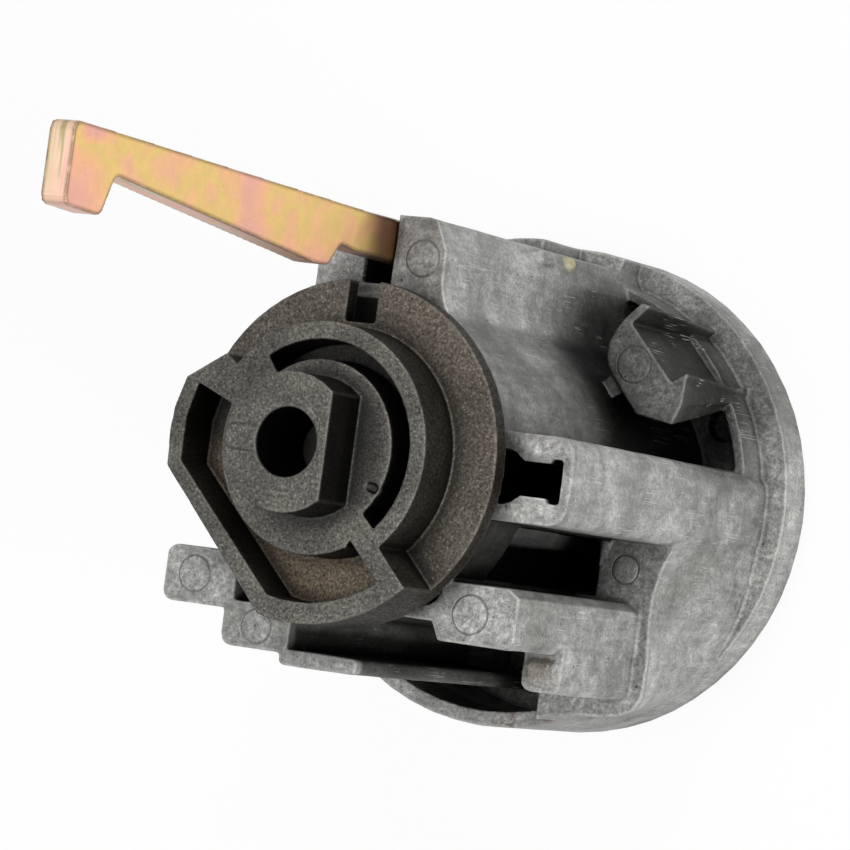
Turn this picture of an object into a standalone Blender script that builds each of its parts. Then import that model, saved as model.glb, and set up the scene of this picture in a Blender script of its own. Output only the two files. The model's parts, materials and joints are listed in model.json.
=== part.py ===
"""Ignition lock cylinder: a zinc die-cast lock housing with its key plug, drive rotor and lever.

The lock's axis is Z. The front rim of the round head lies on z = 0, with the key entry
facing down, and the drive end faces up. Seen from the drive end, X points to the slotted
rail and Y to the lever.

Sizes are in millimetres, and MM turns them into metres where a shape is made.
"""

import math

import bmesh
import bpy
from mathutils import Matrix, Vector

MM = 0.001

# Clearances
FIT = 0.3                 # gap between two pieces that touch or slide
OVER = 0.6                # how far a tool runs past the face that it opens
SINK = 0.8                # how deep a joined shape reaches into its neighbour

# Round head
HEAD_R = 22.6
HEAD_H = 5.7              # front rim to the seat behind the head
HEAD_CHAMFER = 1.4
FRONT_WALL = 3.0          # floor of the head
FACE_RECESS = 0.9         # the face lies this far behind the rim
FACE_R = HEAD_R - 4.0
NECK_R = HEAD_R - 2.5     # round body behind the head, on the rail side
NECK_BLEND = (-2.0, -52.0)             # angles between which the neck grows out into the head
NECK_FREE = (-66.0, 78.0)              # angles between which the neck is set in from the head
CUP_TOP = 17.0            # edge of the cup's wall
CUP_WALL = 1.4
STEP_Z = 21.5             # solid shoulder between the rails
SIDE_X = 8.0              # where the open cup ends and the solid shoulder starts
POCKET_FLOOR = 5.0
POCKET_RIM = 9.5
POCKET_RIM_W = 1.0

# Barrel and rails
BODY_TOP = 45.0           # end faces of barrel, rails and blocks
BARREL_R = 14.0
SHOULDER_CORE_R = BARREL_R - 3.0
RAIL_TOP_Y = 3.5
RAIL_LOW_Y = -4.1
RAIL_R = HEAD_R - 2.0
RAIL_CORNER = 1.6
LOW_RAIL = (8.9, 17.0, -14.9, -9.7)
LOW_RAIL_CHAMFER = 2.2
LOW_RAIL_FIN = (5.6, -13.3, -12.4)     # left end, lower side and upper side of the fin
WEB_T = 3.9
WEB_LOW_Y = -18.3
WEB_TOP_Z = 35.1
WEB_CORNER = 0.9
SHOULDER = ((20.0, -1.0), (19.7, -3.9), (18.6, -6.3), (18.1, -8.6), (18.1, -11.3), (18.4, -14.8),
            (18.3, -17.8), (17.6, -19.1), (16.2, -19.8), (14.0, -20.1), (11.5, -20.3))
WINDOW = (-9.2, -4.3, 21.6, 39.5)      # opening through the barrel between the rails: y, y, z, z
WINDOW_CORNER = 0.8
SIDE_WELL = (7.0, 12.3, 12.0)          # deep well in the shoulder inside the window: x, x, floor

# Slot along the upper rail
SLOT_Y = -0.3
SLOT_ROUND_R = 2.4
SLOT_ROUND_X = 13.9
SLOT_NECK_W = 3.0
SLOT_HEAD = (18.4, 19.6)
SLOT_HEAD_W = 3.8
SLOT_FLOOR = 24.0

# Top block and the lever's slot in it
BLOCK_X = (-7.0, 5.6)
BLOCK_TOP = 21.0
BLOCK_SLOPE = (4.4, 18.3)              # where the right side starts to lean: x at the top, y below
BLOCK_FOOT_Y = BARREL_R - 3.0
BLOCK_FILLET = 6.0                     # hollow between the block's right side and the barrel
LEVER_X = -0.85                        # middle of the lever's thickness
LEVER_T = 2.3
LEVER_SLOT_FLOOR = 14.9
LEVER_SLOT_END = 21.9

# Stepped wall on the lower left, and the plain rail on the far side
FINS = ((-18.4, -11.0, -14.7, -9.7), (-11.9, -5.0, -17.9, -13.9), (-5.8, 2.0, -18.9, -17.5))
FIN_CORNER = 1.0
FAR_RAIL = (-20.2, -12.0, -3.8, 3.8)
FAR_RAIL_TOP = 40.0

# Post in the pocket
POST = ((13.9, 17.0), (12.3, 15.3), (17.0, 10.4), (18.5, 11.4), (18.3, 8.4), (17.6, 6.6), (13.9, 7.2),
        (12.3, 9.0), (10.5, 11.2), (10.2, 12.3), (10.3, 13.5), (11.3, 15.4), (13.0, 17.2))
POST_WEB = ((9.0, 8.8), (9.9, 7.6), (13.0, 9.6), (11.4, 11.2))
POST_WEB_DROP = 0.4
POST_FOOT = ((13.2, 16.3), (12.3, 15.3), (16.5, 10.8), (17.2, 11.3), (17.0, 10.3), (16.2, 9.9), (13.2, 9.6),
             (12.0, 10.2), (10.5, 11.5), (10.2, 12.5), (10.3, 13.6), (11.3, 15.4), (12.7, 16.6))
PIT_R = 1.6                            # blind core holes in the pocket's floor
PITS = ((7.4, 16.9), (14.9, 7.9))
PIT_DEPTH = 1.6

# Key plug
PLUG_R = 8.0
PLUG_FRONT = 1.5
PLUG_END = BODY_TOP - 6.5
PLUG_HEAD_R = 9.0
PLUG_HEAD_H = 1.9
KEY_SLOT = (2.6, 9.0, 31.0)            # thickness, height, depth
TONGUE = (4.0, 11.0, 3.0)              # thickness, width, height
BORE_STEP = BODY_TOP - 9.0
BORE_BACK_R = 9.7
BORE_LAND = 2.2                        # length of bore that guides the plug at each end
CAP_T = 0.6
CAP_SKIRT = 1.5
CAP_SLOT_GROW = 0.5

# Shutter behind the cap
SHUTTER = (3.6, 9.6, 0.6)              # width, height, thickness
SHUTTER_PIN_X = -2.4
SHUTTER_PIN_Z = 3.0
SHUTTER_PIN_R = 0.4
SHUTTER_EYE_R = 1.1
SHUTTER_ROOM = 7.6                     # depth of the plug's front pocket
SHUTTER_SPRING_R = 0.62
SHUTTER_SPRING_L = 2.2
SHUTTER_WIRE_R = 0.13

# Wafers, their springs and the side bar
WAFER_COUNT = 6
WAFER_FIRST_Z = 12.0
WAFER_PITCH = 3.4
WAFER = (7.2, 11.0, 1.2)               # width, height, thickness
WAFER_DROP = 0.1                       # the wafer's middle hangs this far below the axis
WAFER_WINDOW = (3.4, 7.6)
WAFER_LUG = (1.5, 1.3, 1.1)            # reach, height and level of the lug over the spring
WAFER_SPRING_R = 0.5
WAFER_WIRE_R = 0.15
WAFER_SPRING_LOW = -4.4
SIDE_BAR = (3.0, 2.0, 27.0)            # depth, width, length
SIDE_BAR_Z = 20.0
SIDE_BAR_OUT = 0.9
SIDE_NOTCH = (0.5, 3.8)                # notch in each wafer's edge: depth, height
BAR_SPRING_R = 0.6
BAR_SPRING_L = 2.6
BAR_SPRING_INSET = 1.6
BAR_WIRE_R = 0.15

# Retaining clip and return spring
CLIP = (7.0, 9.4, 1.0)                 # inner radius, outer radius, thickness
CLIP_GAP = 60.0                        # opening in degrees
RETURN_WIRE_R = 0.6
RETURN_TURNS = 3.0
RETURN_PITCH = 1.5

# Drive rotor
ROTOR_LOW = BODY_TOP + 1.4
FLANGE_TOP = ROTOR_LOW + 1.7
FLANGE_R = 14.9
FLANGE_START = -48.0
FLANGE_END = 152.0
HUB_R = 6.0
RING_R = 10.75
RING_TOP = FLANGE_TOP + 4.9
ARC_SLOT = (7.5, 9.2, -43.0, 128.0)    # inner radius, outer radius, first and last angle
ARC_SLOT_FLOOR = FLANGE_TOP + 0.9
BOSS_R = 6.0
BOSS_TOP = RING_TOP + 4.7
BOSS_FLAT = 3.85
DRIVE_HOLE_R = 2.95
RADIAL_SLOT = (-1.6, 1.4, 11.2)
PAN_FLOOR = FLANGE_TOP + 0.6
PAN_R = 15.05
PAN_WALL = 1.85
PAN_ARC = (-103.0, -46.0)
PAN_LEFT_X = -14.6
PAN_LEFT_LOW_Y = -3.1
PAN_LEFT_TOP_Y = 2.1
PAN_SHOULDER = (-13.6, 4.7)
PAN_NECK = (-9.9, 7.1)
PAN_JOIN = (8.0, -8.3)
PAN_SIDE_WALL = 1.5
PAN_FLOOR_TOP_Y = 4.3
DECK_TAB = (-8.7, -5.0, -0.9, 1.1, 0.5)

# Tail pin
TAIL_PIN_R = 2.5
TAIL_PIN_TOP = BOSS_TOP - 7.1
TAIL_PIN_LOW = 33.5

# Lever
LEVER_PIN_Y = 18.8
LEVER_PIN_Z = 25.6
LEVER_PIN_R = 0.8
LEVER_PIN_END = 3.6                    # the pin's hole is blind and ends here
LEVER_TAIL_Z = 23.6
LEVER_TIP_Z = 95.0
LEVER_TOP_TIP_Y = 21.4
LEVER_TOP_Y = 20.5
LEVER_NECK_Y = 17.0
LEVER_NECK_Z = 53.2
LEVER_KNEE = (15.15, 55.2)             # lowest corner behind the neck: y, z
LEVER_BAR_Y = 18.0
LEVER_BAR_Z = 87.6
LEVER_HOOK = (14.6, 90.0)              # low corner of the hook: y, z
LEVER_ROUND = 0.9
LEVER_SPRING_Z = 33.0
LEVER_SPRING_R = 1.1
LEVER_SPRING_LOW = 10.8
LEVER_WIRE_R = 0.2

# Facets
ROUND = 56
SMALL = 24
COIL_STEPS = 9


def make_collection(name):
    group = bpy.data.collections.new(name)
    bpy.context.scene.collection.children.link(group)
    return group


def make_material(name, colour, metallic, roughness):
    mat = bpy.data.materials.new(name)
    mat.use_nodes = True
    shader = mat.node_tree.nodes["Principled BSDF"]
    shader.inputs["Base Color"].default_value = (*colour, 1.0)
    shader.inputs["Metallic"].default_value = metallic
    shader.inputs["Roughness"].default_value = roughness
    mat.diffuse_color = (*colour, 1.0)
    return mat


def place(obj, group):
    """Move an object into one collection."""
    for owner in list(obj.users_collection):
        owner.objects.unlink(obj)
    group.objects.link(obj)


def finish_part(obj, name, mat, parts):
    """Name a piece, give it its material and put it with the parts."""
    obj.name = name
    obj.data.name = name
    obj.data.materials.clear()
    obj.data.materials.append(mat)
    place(obj, parts)
    if not any(step.type == "BOOLEAN" for step in obj.modifiers):
        obj.data.shade_smooth()
        obj.data.set_sharp_from_angle(angle=math.radians(30.0))
    return obj


def to_tool(obj, tools):
    """Keep a cutter or a joined shape as a hidden construction object."""
    place(obj, tools)
    obj.hide_render = True
    obj.display_type = "WIRE"
    return obj


def boolean(target, tool, operation, tools):
    step = target.modifiers.new(operation.lower(), "BOOLEAN")
    step.operation = operation
    step.solver = "EXACT"
    step.object = to_tool(tool, tools)
    return target


def cut(target, tool, tools):
    return boolean(target, tool, "DIFFERENCE", tools)


def join(target, tool, tools):
    return boolean(target, tool, "UNION", tools)


def cylinder(radius, z0, z1, at=(0.0, 0.0), segments=SMALL):
    """A cylinder along Z between two levels, its facets turned half a step off the X axis."""
    bpy.ops.mesh.primitive_cylinder_add(vertices=segments, radius=radius * MM, depth=(z1 - z0) * MM)
    obj = bpy.context.object
    turn = Matrix.Rotation(math.pi / segments, 4, "Z")
    obj.data.transform(Matrix.Translation(Vector((at[0], at[1], (z0 + z1) / 2)) * MM) @ turn)
    return obj


def side_cylinder(radius, start, end, axis, segments=SMALL):
    """A cylinder along X or Y; start and end are points in millimetres."""
    length = (Vector(end) - Vector(start)).length
    bpy.ops.mesh.primitive_cylinder_add(vertices=segments, radius=radius * MM, depth=length * MM)
    obj = bpy.context.object
    turn = Matrix.Rotation(math.pi / 2, 4, "Y" if axis == "X" else "X")
    middle = (Vector(start) + Vector(end)) / 2
    obj.data.transform(Matrix.Translation(middle * MM) @ turn)
    return obj


def box(x0, x1, y0, y1, z0, z1):
    """A box between its low and high corners."""
    bpy.ops.mesh.primitive_cube_add(size=1.0)
    obj = bpy.context.object
    size = Vector((x1 - x0, y1 - y0, z1 - z0)) * MM
    middle = Vector((x0 + x1, y0 + y1, z0 + z1)) * 0.5 * MM
    obj.data.transform(Matrix.Translation(middle) @ Matrix.Diagonal((*size, 1.0)))
    return obj


def arc(radius, start, end, steps, centre=(0.0, 0.0)):
    """Points on a round stretch between two angles in degrees."""
    points = []
    for i in range(steps + 1):
        angle = math.radians(start + (end - start) * i / steps)
        points.append((centre[0] + radius * math.cos(angle), centre[1] + radius * math.sin(angle)))
    return points


def rounded_box(x0, x1, y0, y1, radius, steps=3):
    """Outline of a rectangle with four round corners, anticlockwise."""
    corners = ((x1 - radius, y0 + radius, -90.0), (x1 - radius, y1 - radius, 0.0),
               (x0 + radius, y1 - radius, 90.0), (x0 + radius, y0 + radius, 180.0))
    points = []
    for cx, cy, start in corners:
        points += arc(radius, start, start + 90.0, steps, (cx, cy))
    return points


def prism(points, z0, z1):
    """A flat outline in X and Y, extruded between two levels."""
    outline = bpy.data.curves.new("outline", "CURVE")
    outline.dimensions = "2D"
    outline.fill_mode = "BOTH"
    outline.extrude = (z1 - z0) / 2 * MM
    line = outline.splines.new("POLY")
    line.points.add(len(points) - 1)
    for point, (x, y) in zip(line.points, points):
        point.co = (x * MM, y * MM, 0.0, 1.0)
    line.use_cyclic_u = True
    guide = bpy.data.objects.new("outline", outline)
    guide.location.z = (z0 + z1) / 2 * MM
    return curve_to_mesh(guide)


def loft(low, high, z0, z1):
    """A flat outline at z0 drawn over to an outline of as many points at z1, closed at both ends."""
    count = len(low)
    verts = [(x * MM, y * MM, z0 * MM) for x, y in low] + [(x * MM, y * MM, z1 * MM) for x, y in high]
    faces = [tuple(range(count)), tuple(range(count, 2 * count))]
    faces += [(i, (i + 1) % count, count + (i + 1) % count, count + i) for i in range(count)]
    mesh = bpy.data.meshes.new("loft")
    mesh.from_pydata(verts, [], faces)
    work = bmesh.new()
    work.from_mesh(mesh)
    bmesh.ops.triangulate(work, faces=work.faces)
    bmesh.ops.recalc_face_normals(work, faces=work.faces)
    work.to_mesh(mesh)
    work.free()
    obj = bpy.data.objects.new("loft", mesh)
    bpy.context.scene.collection.objects.link(obj)
    return obj


def curve_to_mesh(guide):
    """Turn a curve object into a closed mesh with its place applied, and remove the curve."""
    bpy.context.scene.collection.objects.link(guide)
    bpy.context.view_layer.update()
    view = bpy.context.evaluated_depsgraph_get()
    mesh = bpy.data.meshes.new_from_object(guide.evaluated_get(view))
    mesh.transform(guide.matrix_world)
    work = bmesh.new()
    work.from_mesh(mesh)
    bmesh.ops.remove_doubles(work, verts=work.verts, dist=1e-6)
    work.to_mesh(mesh)
    work.free()
    obj = bpy.data.objects.new("shape", mesh)
    bpy.context.scene.collection.objects.link(obj)
    bpy.data.objects.remove(guide)
    return obj


def stand_across(obj):
    """Turn a prism so that its outline lies in Y and Z and its thickness along X."""
    obj.data.transform(Matrix.Rotation(math.pi / 2, 4, "Z") @ Matrix.Rotation(math.pi / 2, 4, "X"))
    return obj


def turned(profile, segments):
    """A profile of (radius, z) points turned about Z; it starts and ends on the axis."""
    mesh = bpy.data.meshes.new("profile")
    verts = [(r * MM, 0.0, z * MM) for r, z in profile]
    mesh.from_pydata(verts, [(i, i + 1) for i in range(len(verts) - 1)], [])
    obj = bpy.data.objects.new("turned", mesh)
    bpy.context.scene.collection.objects.link(obj)
    spin = obj.modifiers.new("screw", "SCREW")
    spin.steps = segments
    spin.render_steps = segments
    spin.use_merge_vertices = True
    spin.merge_threshold = 1e-6
    spin.use_smooth_shade = True
    return obj


def coil(radius, wire, start, end, turns, axis, steps=COIL_STEPS):
    """A round-wire coil from start to end, wound about the line between them."""
    first = Vector(start)
    along = Vector(end) - first
    side = Vector((0.0, 0.0, 1.0)) if axis != "Z" else Vector((1.0, 0.0, 0.0))
    across = along.normalized().cross(side)
    wound = bpy.data.curves.new("coil", "CURVE")
    wound.dimensions = "3D"
    wound.bevel_depth = wire * MM
    wound.bevel_resolution = 2
    wound.use_fill_caps = True
    line = wound.splines.new("POLY")
    count = int(turns * steps)
    line.points.add(count)
    for i, point in enumerate(line.points):
        angle = 2 * math.pi * turns * i / count
        spot = first + along * (i / count) + (side * math.cos(angle) + across * math.sin(angle)) * radius
        point.co = (*(spot * MM), 1.0)
    return curve_to_mesh(bpy.data.objects.new("coil", wound))


def shift_origin(obj, spot):
    """Put an object's origin at a point, with its mesh left where it is."""
    obj.data.transform(Matrix.Translation(-Vector(spot) * MM))
    obj.location = Vector(spot) * MM
    return obj


def sector(inner, outer, start, end, z0, z1, steps):
    """A ring sector between two radii, two angles and two levels."""
    points = arc(outer, start, end, steps)
    points += arc(inner, end, start, steps)
    return prism(points, z0, z1)


def head_blank():
    """Turned head and cup as one drum, with a recessed face."""
    profile = ((0.0, STEP_Z), (HEAD_R, STEP_Z), (HEAD_R, HEAD_CHAMFER), (HEAD_R - HEAD_CHAMFER, 0.0),
               (FACE_R, 0.0), (FACE_R - FACE_RECESS, FACE_RECESS), (0.0, FACE_RECESS))
    return turned(profile, ROUND)


def neck_radius(angle):
    """Radius of the neck at an angle: it grows out until it is flush with the head."""
    first, last = NECK_BLEND
    share = min(1.0, max(0.0, (first - angle) / (first - last)))
    return NECK_R + (HEAD_R + OVER - NECK_R) * share


def shoulder(core):
    """Loft from the neck at the head up to the shoulder's own outline below the lower rail."""
    low_end = NECK_FREE[0] - 2.0
    outline = list(SHOULDER) + arc(HEAD_R - 0.1, low_end, low_end - 0.5, 1) + arc(core, low_end, 0.0, 3)
    low = []
    for x, y in outline:
        radius = math.hypot(x, y)
        drawn = min(neck_radius(math.degrees(math.atan2(y, x))), HEAD_R - 0.1)
        pull = drawn / radius if radius > core + SINK else 1.0
        low.append((x * pull, y * pull))
    return loft(low, outline, HEAD_H - SINK, STEP_Z + 0.02)


def shape_neck(body, tools):
    """Cut the neck, the low edge of the cup and the two open pockets."""
    far = HEAD_R + OVER
    low, high = NECK_FREE
    relief = arc(far, low, high, 20) + arc(NECK_R, high, 0.0, 12)
    relief += arc(SHOULDER_CORE_R + SINK, 0.0, low, 10)
    cut(body, prism(relief, HEAD_H, STEP_Z + OVER), tools)
    join(body, shoulder(SHOULDER_CORE_R), tools)
    # the open side runs clockwise from the solid shoulder round to the top block
    low_angle = math.degrees(math.acos(SIDE_X / far))
    open_side = [(SIDE_X, 0.0)] + arc(far, -low_angle, -280.0, 30)
    cut(body, prism(open_side, CUP_TOP, STEP_Z + OVER), tools)
    inner = HEAD_R - CUP_WALL
    inner_angle = math.degrees(math.acos(SIDE_X / inner))
    hollow = [(SIDE_X, 0.0)] + arc(inner, -inner_angle, -272.0, 30)
    cut(body, prism(hollow, FRONT_WALL, STEP_Z + OVER), tools)
    right = [(0.0, 0.0), (far, RAIL_TOP_Y * far / RAIL_R)] + arc(far, 14.0, 90.0, 14)
    cut(body, prism(right, POCKET_RIM, STEP_Z + OVER), tools)
    rim = NECK_R - POCKET_RIM_W
    pocket = [(0.0, 0.0)] + arc(rim, 8.0, 76.0, 12)
    cut(body, prism(pocket, POCKET_FLOOR, STEP_Z + OVER), tools)
    return body


def rails(body, tools):
    """Barrel, the slotted upper rail, the lower rail with its web and foot."""
    join(body, cylinder(BARREL_R, FRONT_WALL - SINK, BODY_TOP, segments=ROUND), tools)
    inside = BARREL_R - 3 * SINK
    reach = RAIL_R - RAIL_CORNER
    high = math.asin((RAIL_TOP_Y - RAIL_CORNER) / reach)
    low = math.asin((RAIL_LOW_Y + RAIL_CORNER) / reach)
    high_centre = (reach * math.cos(high), RAIL_TOP_Y - RAIL_CORNER)
    low_centre = (reach * math.cos(low), RAIL_LOW_Y + RAIL_CORNER)
    upper = [(inside, RAIL_TOP_Y), (inside, RAIL_LOW_Y)]
    upper += arc(RAIL_CORNER, -90.0, math.degrees(low), 3, low_centre)
    upper += arc(RAIL_R, math.degrees(low), math.degrees(high), 4)[1:-1]
    upper += arc(RAIL_CORNER, math.degrees(high), 90.0, 3, high_centre)
    join(body, prism(upper, FRONT_WALL + FIT, BODY_TOP), tools)
    x0, x1, y0, y1 = LOW_RAIL
    big = LOW_RAIL_CHAMFER
    small = big / 3
    fin_x, fin_y0, fin_y1 = LOW_RAIL_FIN
    lower = [(x0 + small, y0), (x1 - small, y0), (x1, y0 + small), (x1, y1 - small), (x1 - big / 2, y1),
             (x0 + big / 2, y1), (x0, fin_y1 + small), (fin_x, fin_y0 + FIT), (fin_x, fin_y0), (x0, fin_y0)]
    join(body, prism(lower, FRONT_WALL + SINK, BODY_TOP - FIT), tools)
    web = rounded_box(x1 - WEB_T, x1 - 0.02, WEB_LOW_Y, y0 + 2 * SINK, WEB_CORNER)
    join(body, prism(web, STEP_Z - SINK, WEB_TOP_Z), tools)
    return body


def top_block(body, tools):
    """Block that carries the lever, leaning in at its upper right."""
    x0, x1 = BLOCK_X
    lean_x, lean_y = BLOCK_SLOPE
    fillet_x = x1 + BLOCK_FILLET
    reach = BARREL_R + BLOCK_FILLET
    fillet_y = math.sqrt(reach ** 2 - fillet_x ** 2)
    end = math.degrees(math.atan2(-fillet_y, -fillet_x)) + 360.0
    hollow = arc(BLOCK_FILLET, end, 180.0, 6, (fillet_x, fillet_y))
    touch_x = fillet_x * (BARREL_R / reach)
    touch_y = fillet_y * (BARREL_R / reach)
    outline = [(x0, BLOCK_FOOT_Y), (x1, touch_y - 1.5 * SINK), (touch_x - SINK / 2, touch_y - SINK)] + hollow
    outline += [(x1, lean_y), (lean_x, BLOCK_TOP - 0.2),
               (lean_x - 0.8, BLOCK_TOP), (x0 + FIN_CORNER, BLOCK_TOP), (x0, BLOCK_TOP - FIN_CORNER)]
    join(body, prism(outline, FRONT_WALL + SINK / 2, BODY_TOP - FIT / 2), tools)
    return body


def left_side(body, tools):
    """Stepped wall of three fins, and the plain rail on the far side."""
    for i, (x0, x1, y0, y1) in enumerate(FINS):
        outline = rounded_box(x0, x1, y0, y1, min(FIN_CORNER, (y1 - y0) / 3))
        join(body, prism(outline, FRONT_WALL - SINK + 0.1 * i, BODY_TOP - FIT - 0.1 * i), tools)
    x0, x1, y0, y1 = FAR_RAIL
    join(body, prism(rounded_box(x0, x1, y0, y1, FIN_CORNER), FRONT_WALL - SINK / 2, FAR_RAIL_TOP), tools)
    return body


def post(body, tools):
    """Post in the pocket, with its two ribs and its web to the barrel."""
    join(body, loft(POST_FOOT, POST, POCKET_FLOOR - SINK, STEP_Z - 0.1), tools)
    join(body, prism(POST_WEB, POCKET_FLOOR - SINK / 2, STEP_Z - POST_WEB_DROP), tools)
    for spot in PITS:
        cut(body, cylinder(PIT_R, POCKET_FLOOR - PIT_DEPTH, POCKET_FLOOR + OVER, spot, 16), tools)
    return body


def window(body, tools):
    """Opening through the barrel's wall, between the two rails."""
    y0, y1, z0, z1 = WINDOW
    outline = rounded_box(y0, y1, z0, z1, WINDOW_CORNER)
    cut(body, stand_across(prism(outline, BARREL_R / 2, BARREL_R + OVER)), tools)
    x0, x1, floor = SIDE_WELL
    inset = FIT / 5
    well = rounded_box(x0 + inset, x1, y0 + inset, y1 - inset, WINDOW_CORNER)
    cut(body, prism(well, floor, z0 + WINDOW_CORNER), tools)
    return body


def bores(body, tools):
    """Bore for the plug: front seat, two lands with a relief between them, wide back end."""
    bore_r = PLUG_R + FIT
    seat_r = PLUG_HEAD_R + CAP_T + 2 * FIT
    seat_top = PLUG_FRONT + PLUG_HEAD_H + FIT
    top = BODY_TOP + OVER
    relief_r = PLUG_R + SIDE_BAR_OUT + FIT
    relief_top = BORE_STEP - BORE_LAND
    relief_low = seat_top + BORE_LAND
    profile = ((0.0, top), (BORE_BACK_R, top), (BORE_BACK_R, BORE_STEP), (bore_r, BORE_STEP),
               (bore_r, relief_top), (relief_r, relief_top), (relief_r, relief_low), (bore_r, relief_low),
               (bore_r, seat_top), (seat_r, seat_top), (seat_r, -OVER), (0.0, -OVER))
    bore = turned(profile, ROUND)
    bore.rotation_euler.z = math.pi / ROUND
    cut(body, bore, tools)
    return body


def rail_slot(body, tools):
    """Slot along the upper rail: round inside, a narrow neck and a wider head."""
    half = SLOT_NECK_W / 2
    x0, x1 = SLOT_HEAD
    head = SLOT_HEAD_W / 2
    open_angle = math.degrees(math.asin(half / SLOT_ROUND_R))
    points = [(x0, SLOT_Y - half), (x0, SLOT_Y - head), (x1, SLOT_Y - head), (x1, SLOT_Y + head),
              (x0, SLOT_Y + head), (x0, SLOT_Y + half)]
    points += arc(SLOT_ROUND_R, open_angle, 360.0 - open_angle, 14, (SLOT_ROUND_X, SLOT_Y))
    cut(body, prism(points, SLOT_FLOOR, BODY_TOP + OVER), tools)
    return body


def lever_seat(body, tools):
    """Open slot for the lever, the hole for its pin and the pocket for its spring."""
    half = LEVER_T / 2 + FIT
    cut(body, box(LEVER_X - half, LEVER_X + half, LEVER_SLOT_FLOOR, BLOCK_TOP + OVER,
                  LEVER_SLOT_END, BODY_TOP + OVER), tools)
    start = (BLOCK_X[0] - OVER, LEVER_PIN_Y, LEVER_PIN_Z)
    end = (LEVER_PIN_END, LEVER_PIN_Y, LEVER_PIN_Z)
    cut(body, side_cylinder(LEVER_PIN_R + FIT, start, end, "X"), tools)
    low = (LEVER_X, LEVER_SPRING_LOW - FIT, LEVER_SPRING_Z)
    high = (LEVER_X, LEVER_SLOT_FLOOR + OVER, LEVER_SPRING_Z)
    cut(body, side_cylinder(LEVER_SPRING_R + LEVER_WIRE_R + FIT, low, high, "Y", 16), tools)
    return body


def make_housing(mat, parts, tools):
    body = head_blank()
    shape_neck(body, tools)
    rails(body, tools)
    top_block(body, tools)
    left_side(body, tools)
    post(body, tools)
    bores(body, tools)
    window(body, tools)
    rail_slot(body, tools)
    lever_seat(body, tools)
    return finish_part(body, "housing", mat, parts)


def wafer_levels():
    return [WAFER_FIRST_Z + i * WAFER_PITCH for i in range(WAFER_COUNT)]


def make_plug(mat, parts, tools):
    """Key plug with its key slot, wafer slots, side bar slot, clip groove and tongue."""
    head_top = PLUG_FRONT + PLUG_HEAD_H
    groove_r = CLIP[0] - FIT
    clip_z = BORE_STEP + FIT
    profile = ((0.0, PLUG_END), (PLUG_R, PLUG_END), (PLUG_R, clip_z + CLIP[2] + FIT),
               (groove_r, clip_z + CLIP[2] + FIT), (groove_r, clip_z - FIT), (PLUG_R, clip_z - FIT),
               (PLUG_R, head_top), (PLUG_HEAD_R, head_top), (PLUG_HEAD_R, PLUG_FRONT), (0.0, PLUG_FRONT))
    plug = turned(profile, ROUND)
    thick, wide, high = TONGUE
    join(plug, box(-wide / 2, wide / 2, -thick / 2, thick / 2, PLUG_END - SINK, PLUG_END + high), tools)
    key_t, key_h, key_d = KEY_SLOT
    cut(plug, box(-key_t / 2, key_t / 2, -key_h / 2, key_h / 2, PLUG_FRONT - OVER, key_d), tools)
    pocket_x0 = SHUTTER_PIN_X - SHUTTER_EYE_R - FIT
    pocket_x1 = SHUTTER_PIN_X + SHUTTER[0] + 2 * FIT
    pocket_y = SHUTTER[1] / 2 + 2 * FIT
    cut(plug, box(pocket_x0, pocket_x1, -pocket_y, pocket_y, PLUG_FRONT - OVER, SHUTTER_ROOM), tools)
    hole_y = pocket_y + 1.0
    cut(plug, side_cylinder(SHUTTER_PIN_R + FIT, (SHUTTER_PIN_X, -hole_y, SHUTTER_PIN_Z),
                            (SHUTTER_PIN_X, hole_y, SHUTTER_PIN_Z), "Y", 12), tools)
    half_x = WAFER[0] / 2 + FIT
    half_z = WAFER[2] / 2 + FIT
    top_y = WAFER[1] / 2 - WAFER_DROP + FIT
    lug_x = WAFER[0] / 2 + WAFER_LUG[0] + FIT
    lug_top = WAFER_LUG[2] + WAFER_LUG[1] + FIT
    for z in wafer_levels():
        cut(plug, box(-half_x, half_x, -PLUG_R - OVER, top_y, z - half_z, z + half_z), tools)
        cut(plug, box(-lug_x, 0.0, WAFER_SPRING_LOW - FIT, lug_top, z - half_z, z + half_z), tools)
    depth, width, length = SIDE_BAR
    bar_x = PLUG_R - depth - FIT
    cut(plug, box(bar_x - FIT, PLUG_R + OVER, -width / 2 - FIT, width / 2 + FIT,
                  SIDE_BAR_Z - length / 2 - FIT, SIDE_BAR_Z + length / 2 + FIT), tools)
    for z in bar_spring_levels():
        start = (bar_x - BAR_SPRING_L - FIT, 0.0, z)
        cut(plug, side_cylinder(BAR_SPRING_R + BAR_WIRE_R + FIT, start, (bar_x + OVER, 0.0, z), "X", 12), tools)
    cut(plug, cylinder(TAIL_PIN_R + FIT / 3, TAIL_PIN_LOW - FIT, PLUG_END + high + OVER), tools)
    return finish_part(plug, "key_plug", mat, parts)


def bar_spring_levels():
    inset = SIDE_BAR[2] / 2 - BAR_SPRING_INSET
    return (SIDE_BAR_Z - inset, SIDE_BAR_Z + inset)


def make_cap(mat, parts, tools):
    """Thin steel cap over the plug's front, with the key's opening."""
    front = PLUG_FRONT - FIT - CAP_T
    inner = PLUG_HEAD_R + FIT
    outer = inner + CAP_T - FIT / 2
    cap = cylinder(outer, front, front + CAP_T + CAP_SKIRT, segments=ROUND)
    cut(cap, cylinder(inner, front + CAP_T, front + CAP_T + CAP_SKIRT + OVER, segments=ROUND), tools)
    half_t = KEY_SLOT[0] / 2 + CAP_SLOT_GROW
    half_h = KEY_SLOT[1] / 2 + CAP_SLOT_GROW
    cut(cap, prism(rounded_box(-half_t, half_t, -half_h, half_h, 1.0), front - OVER, front + CAP_T + FIT), tools)
    return finish_part(cap, "plug_cap", mat, parts)


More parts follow.
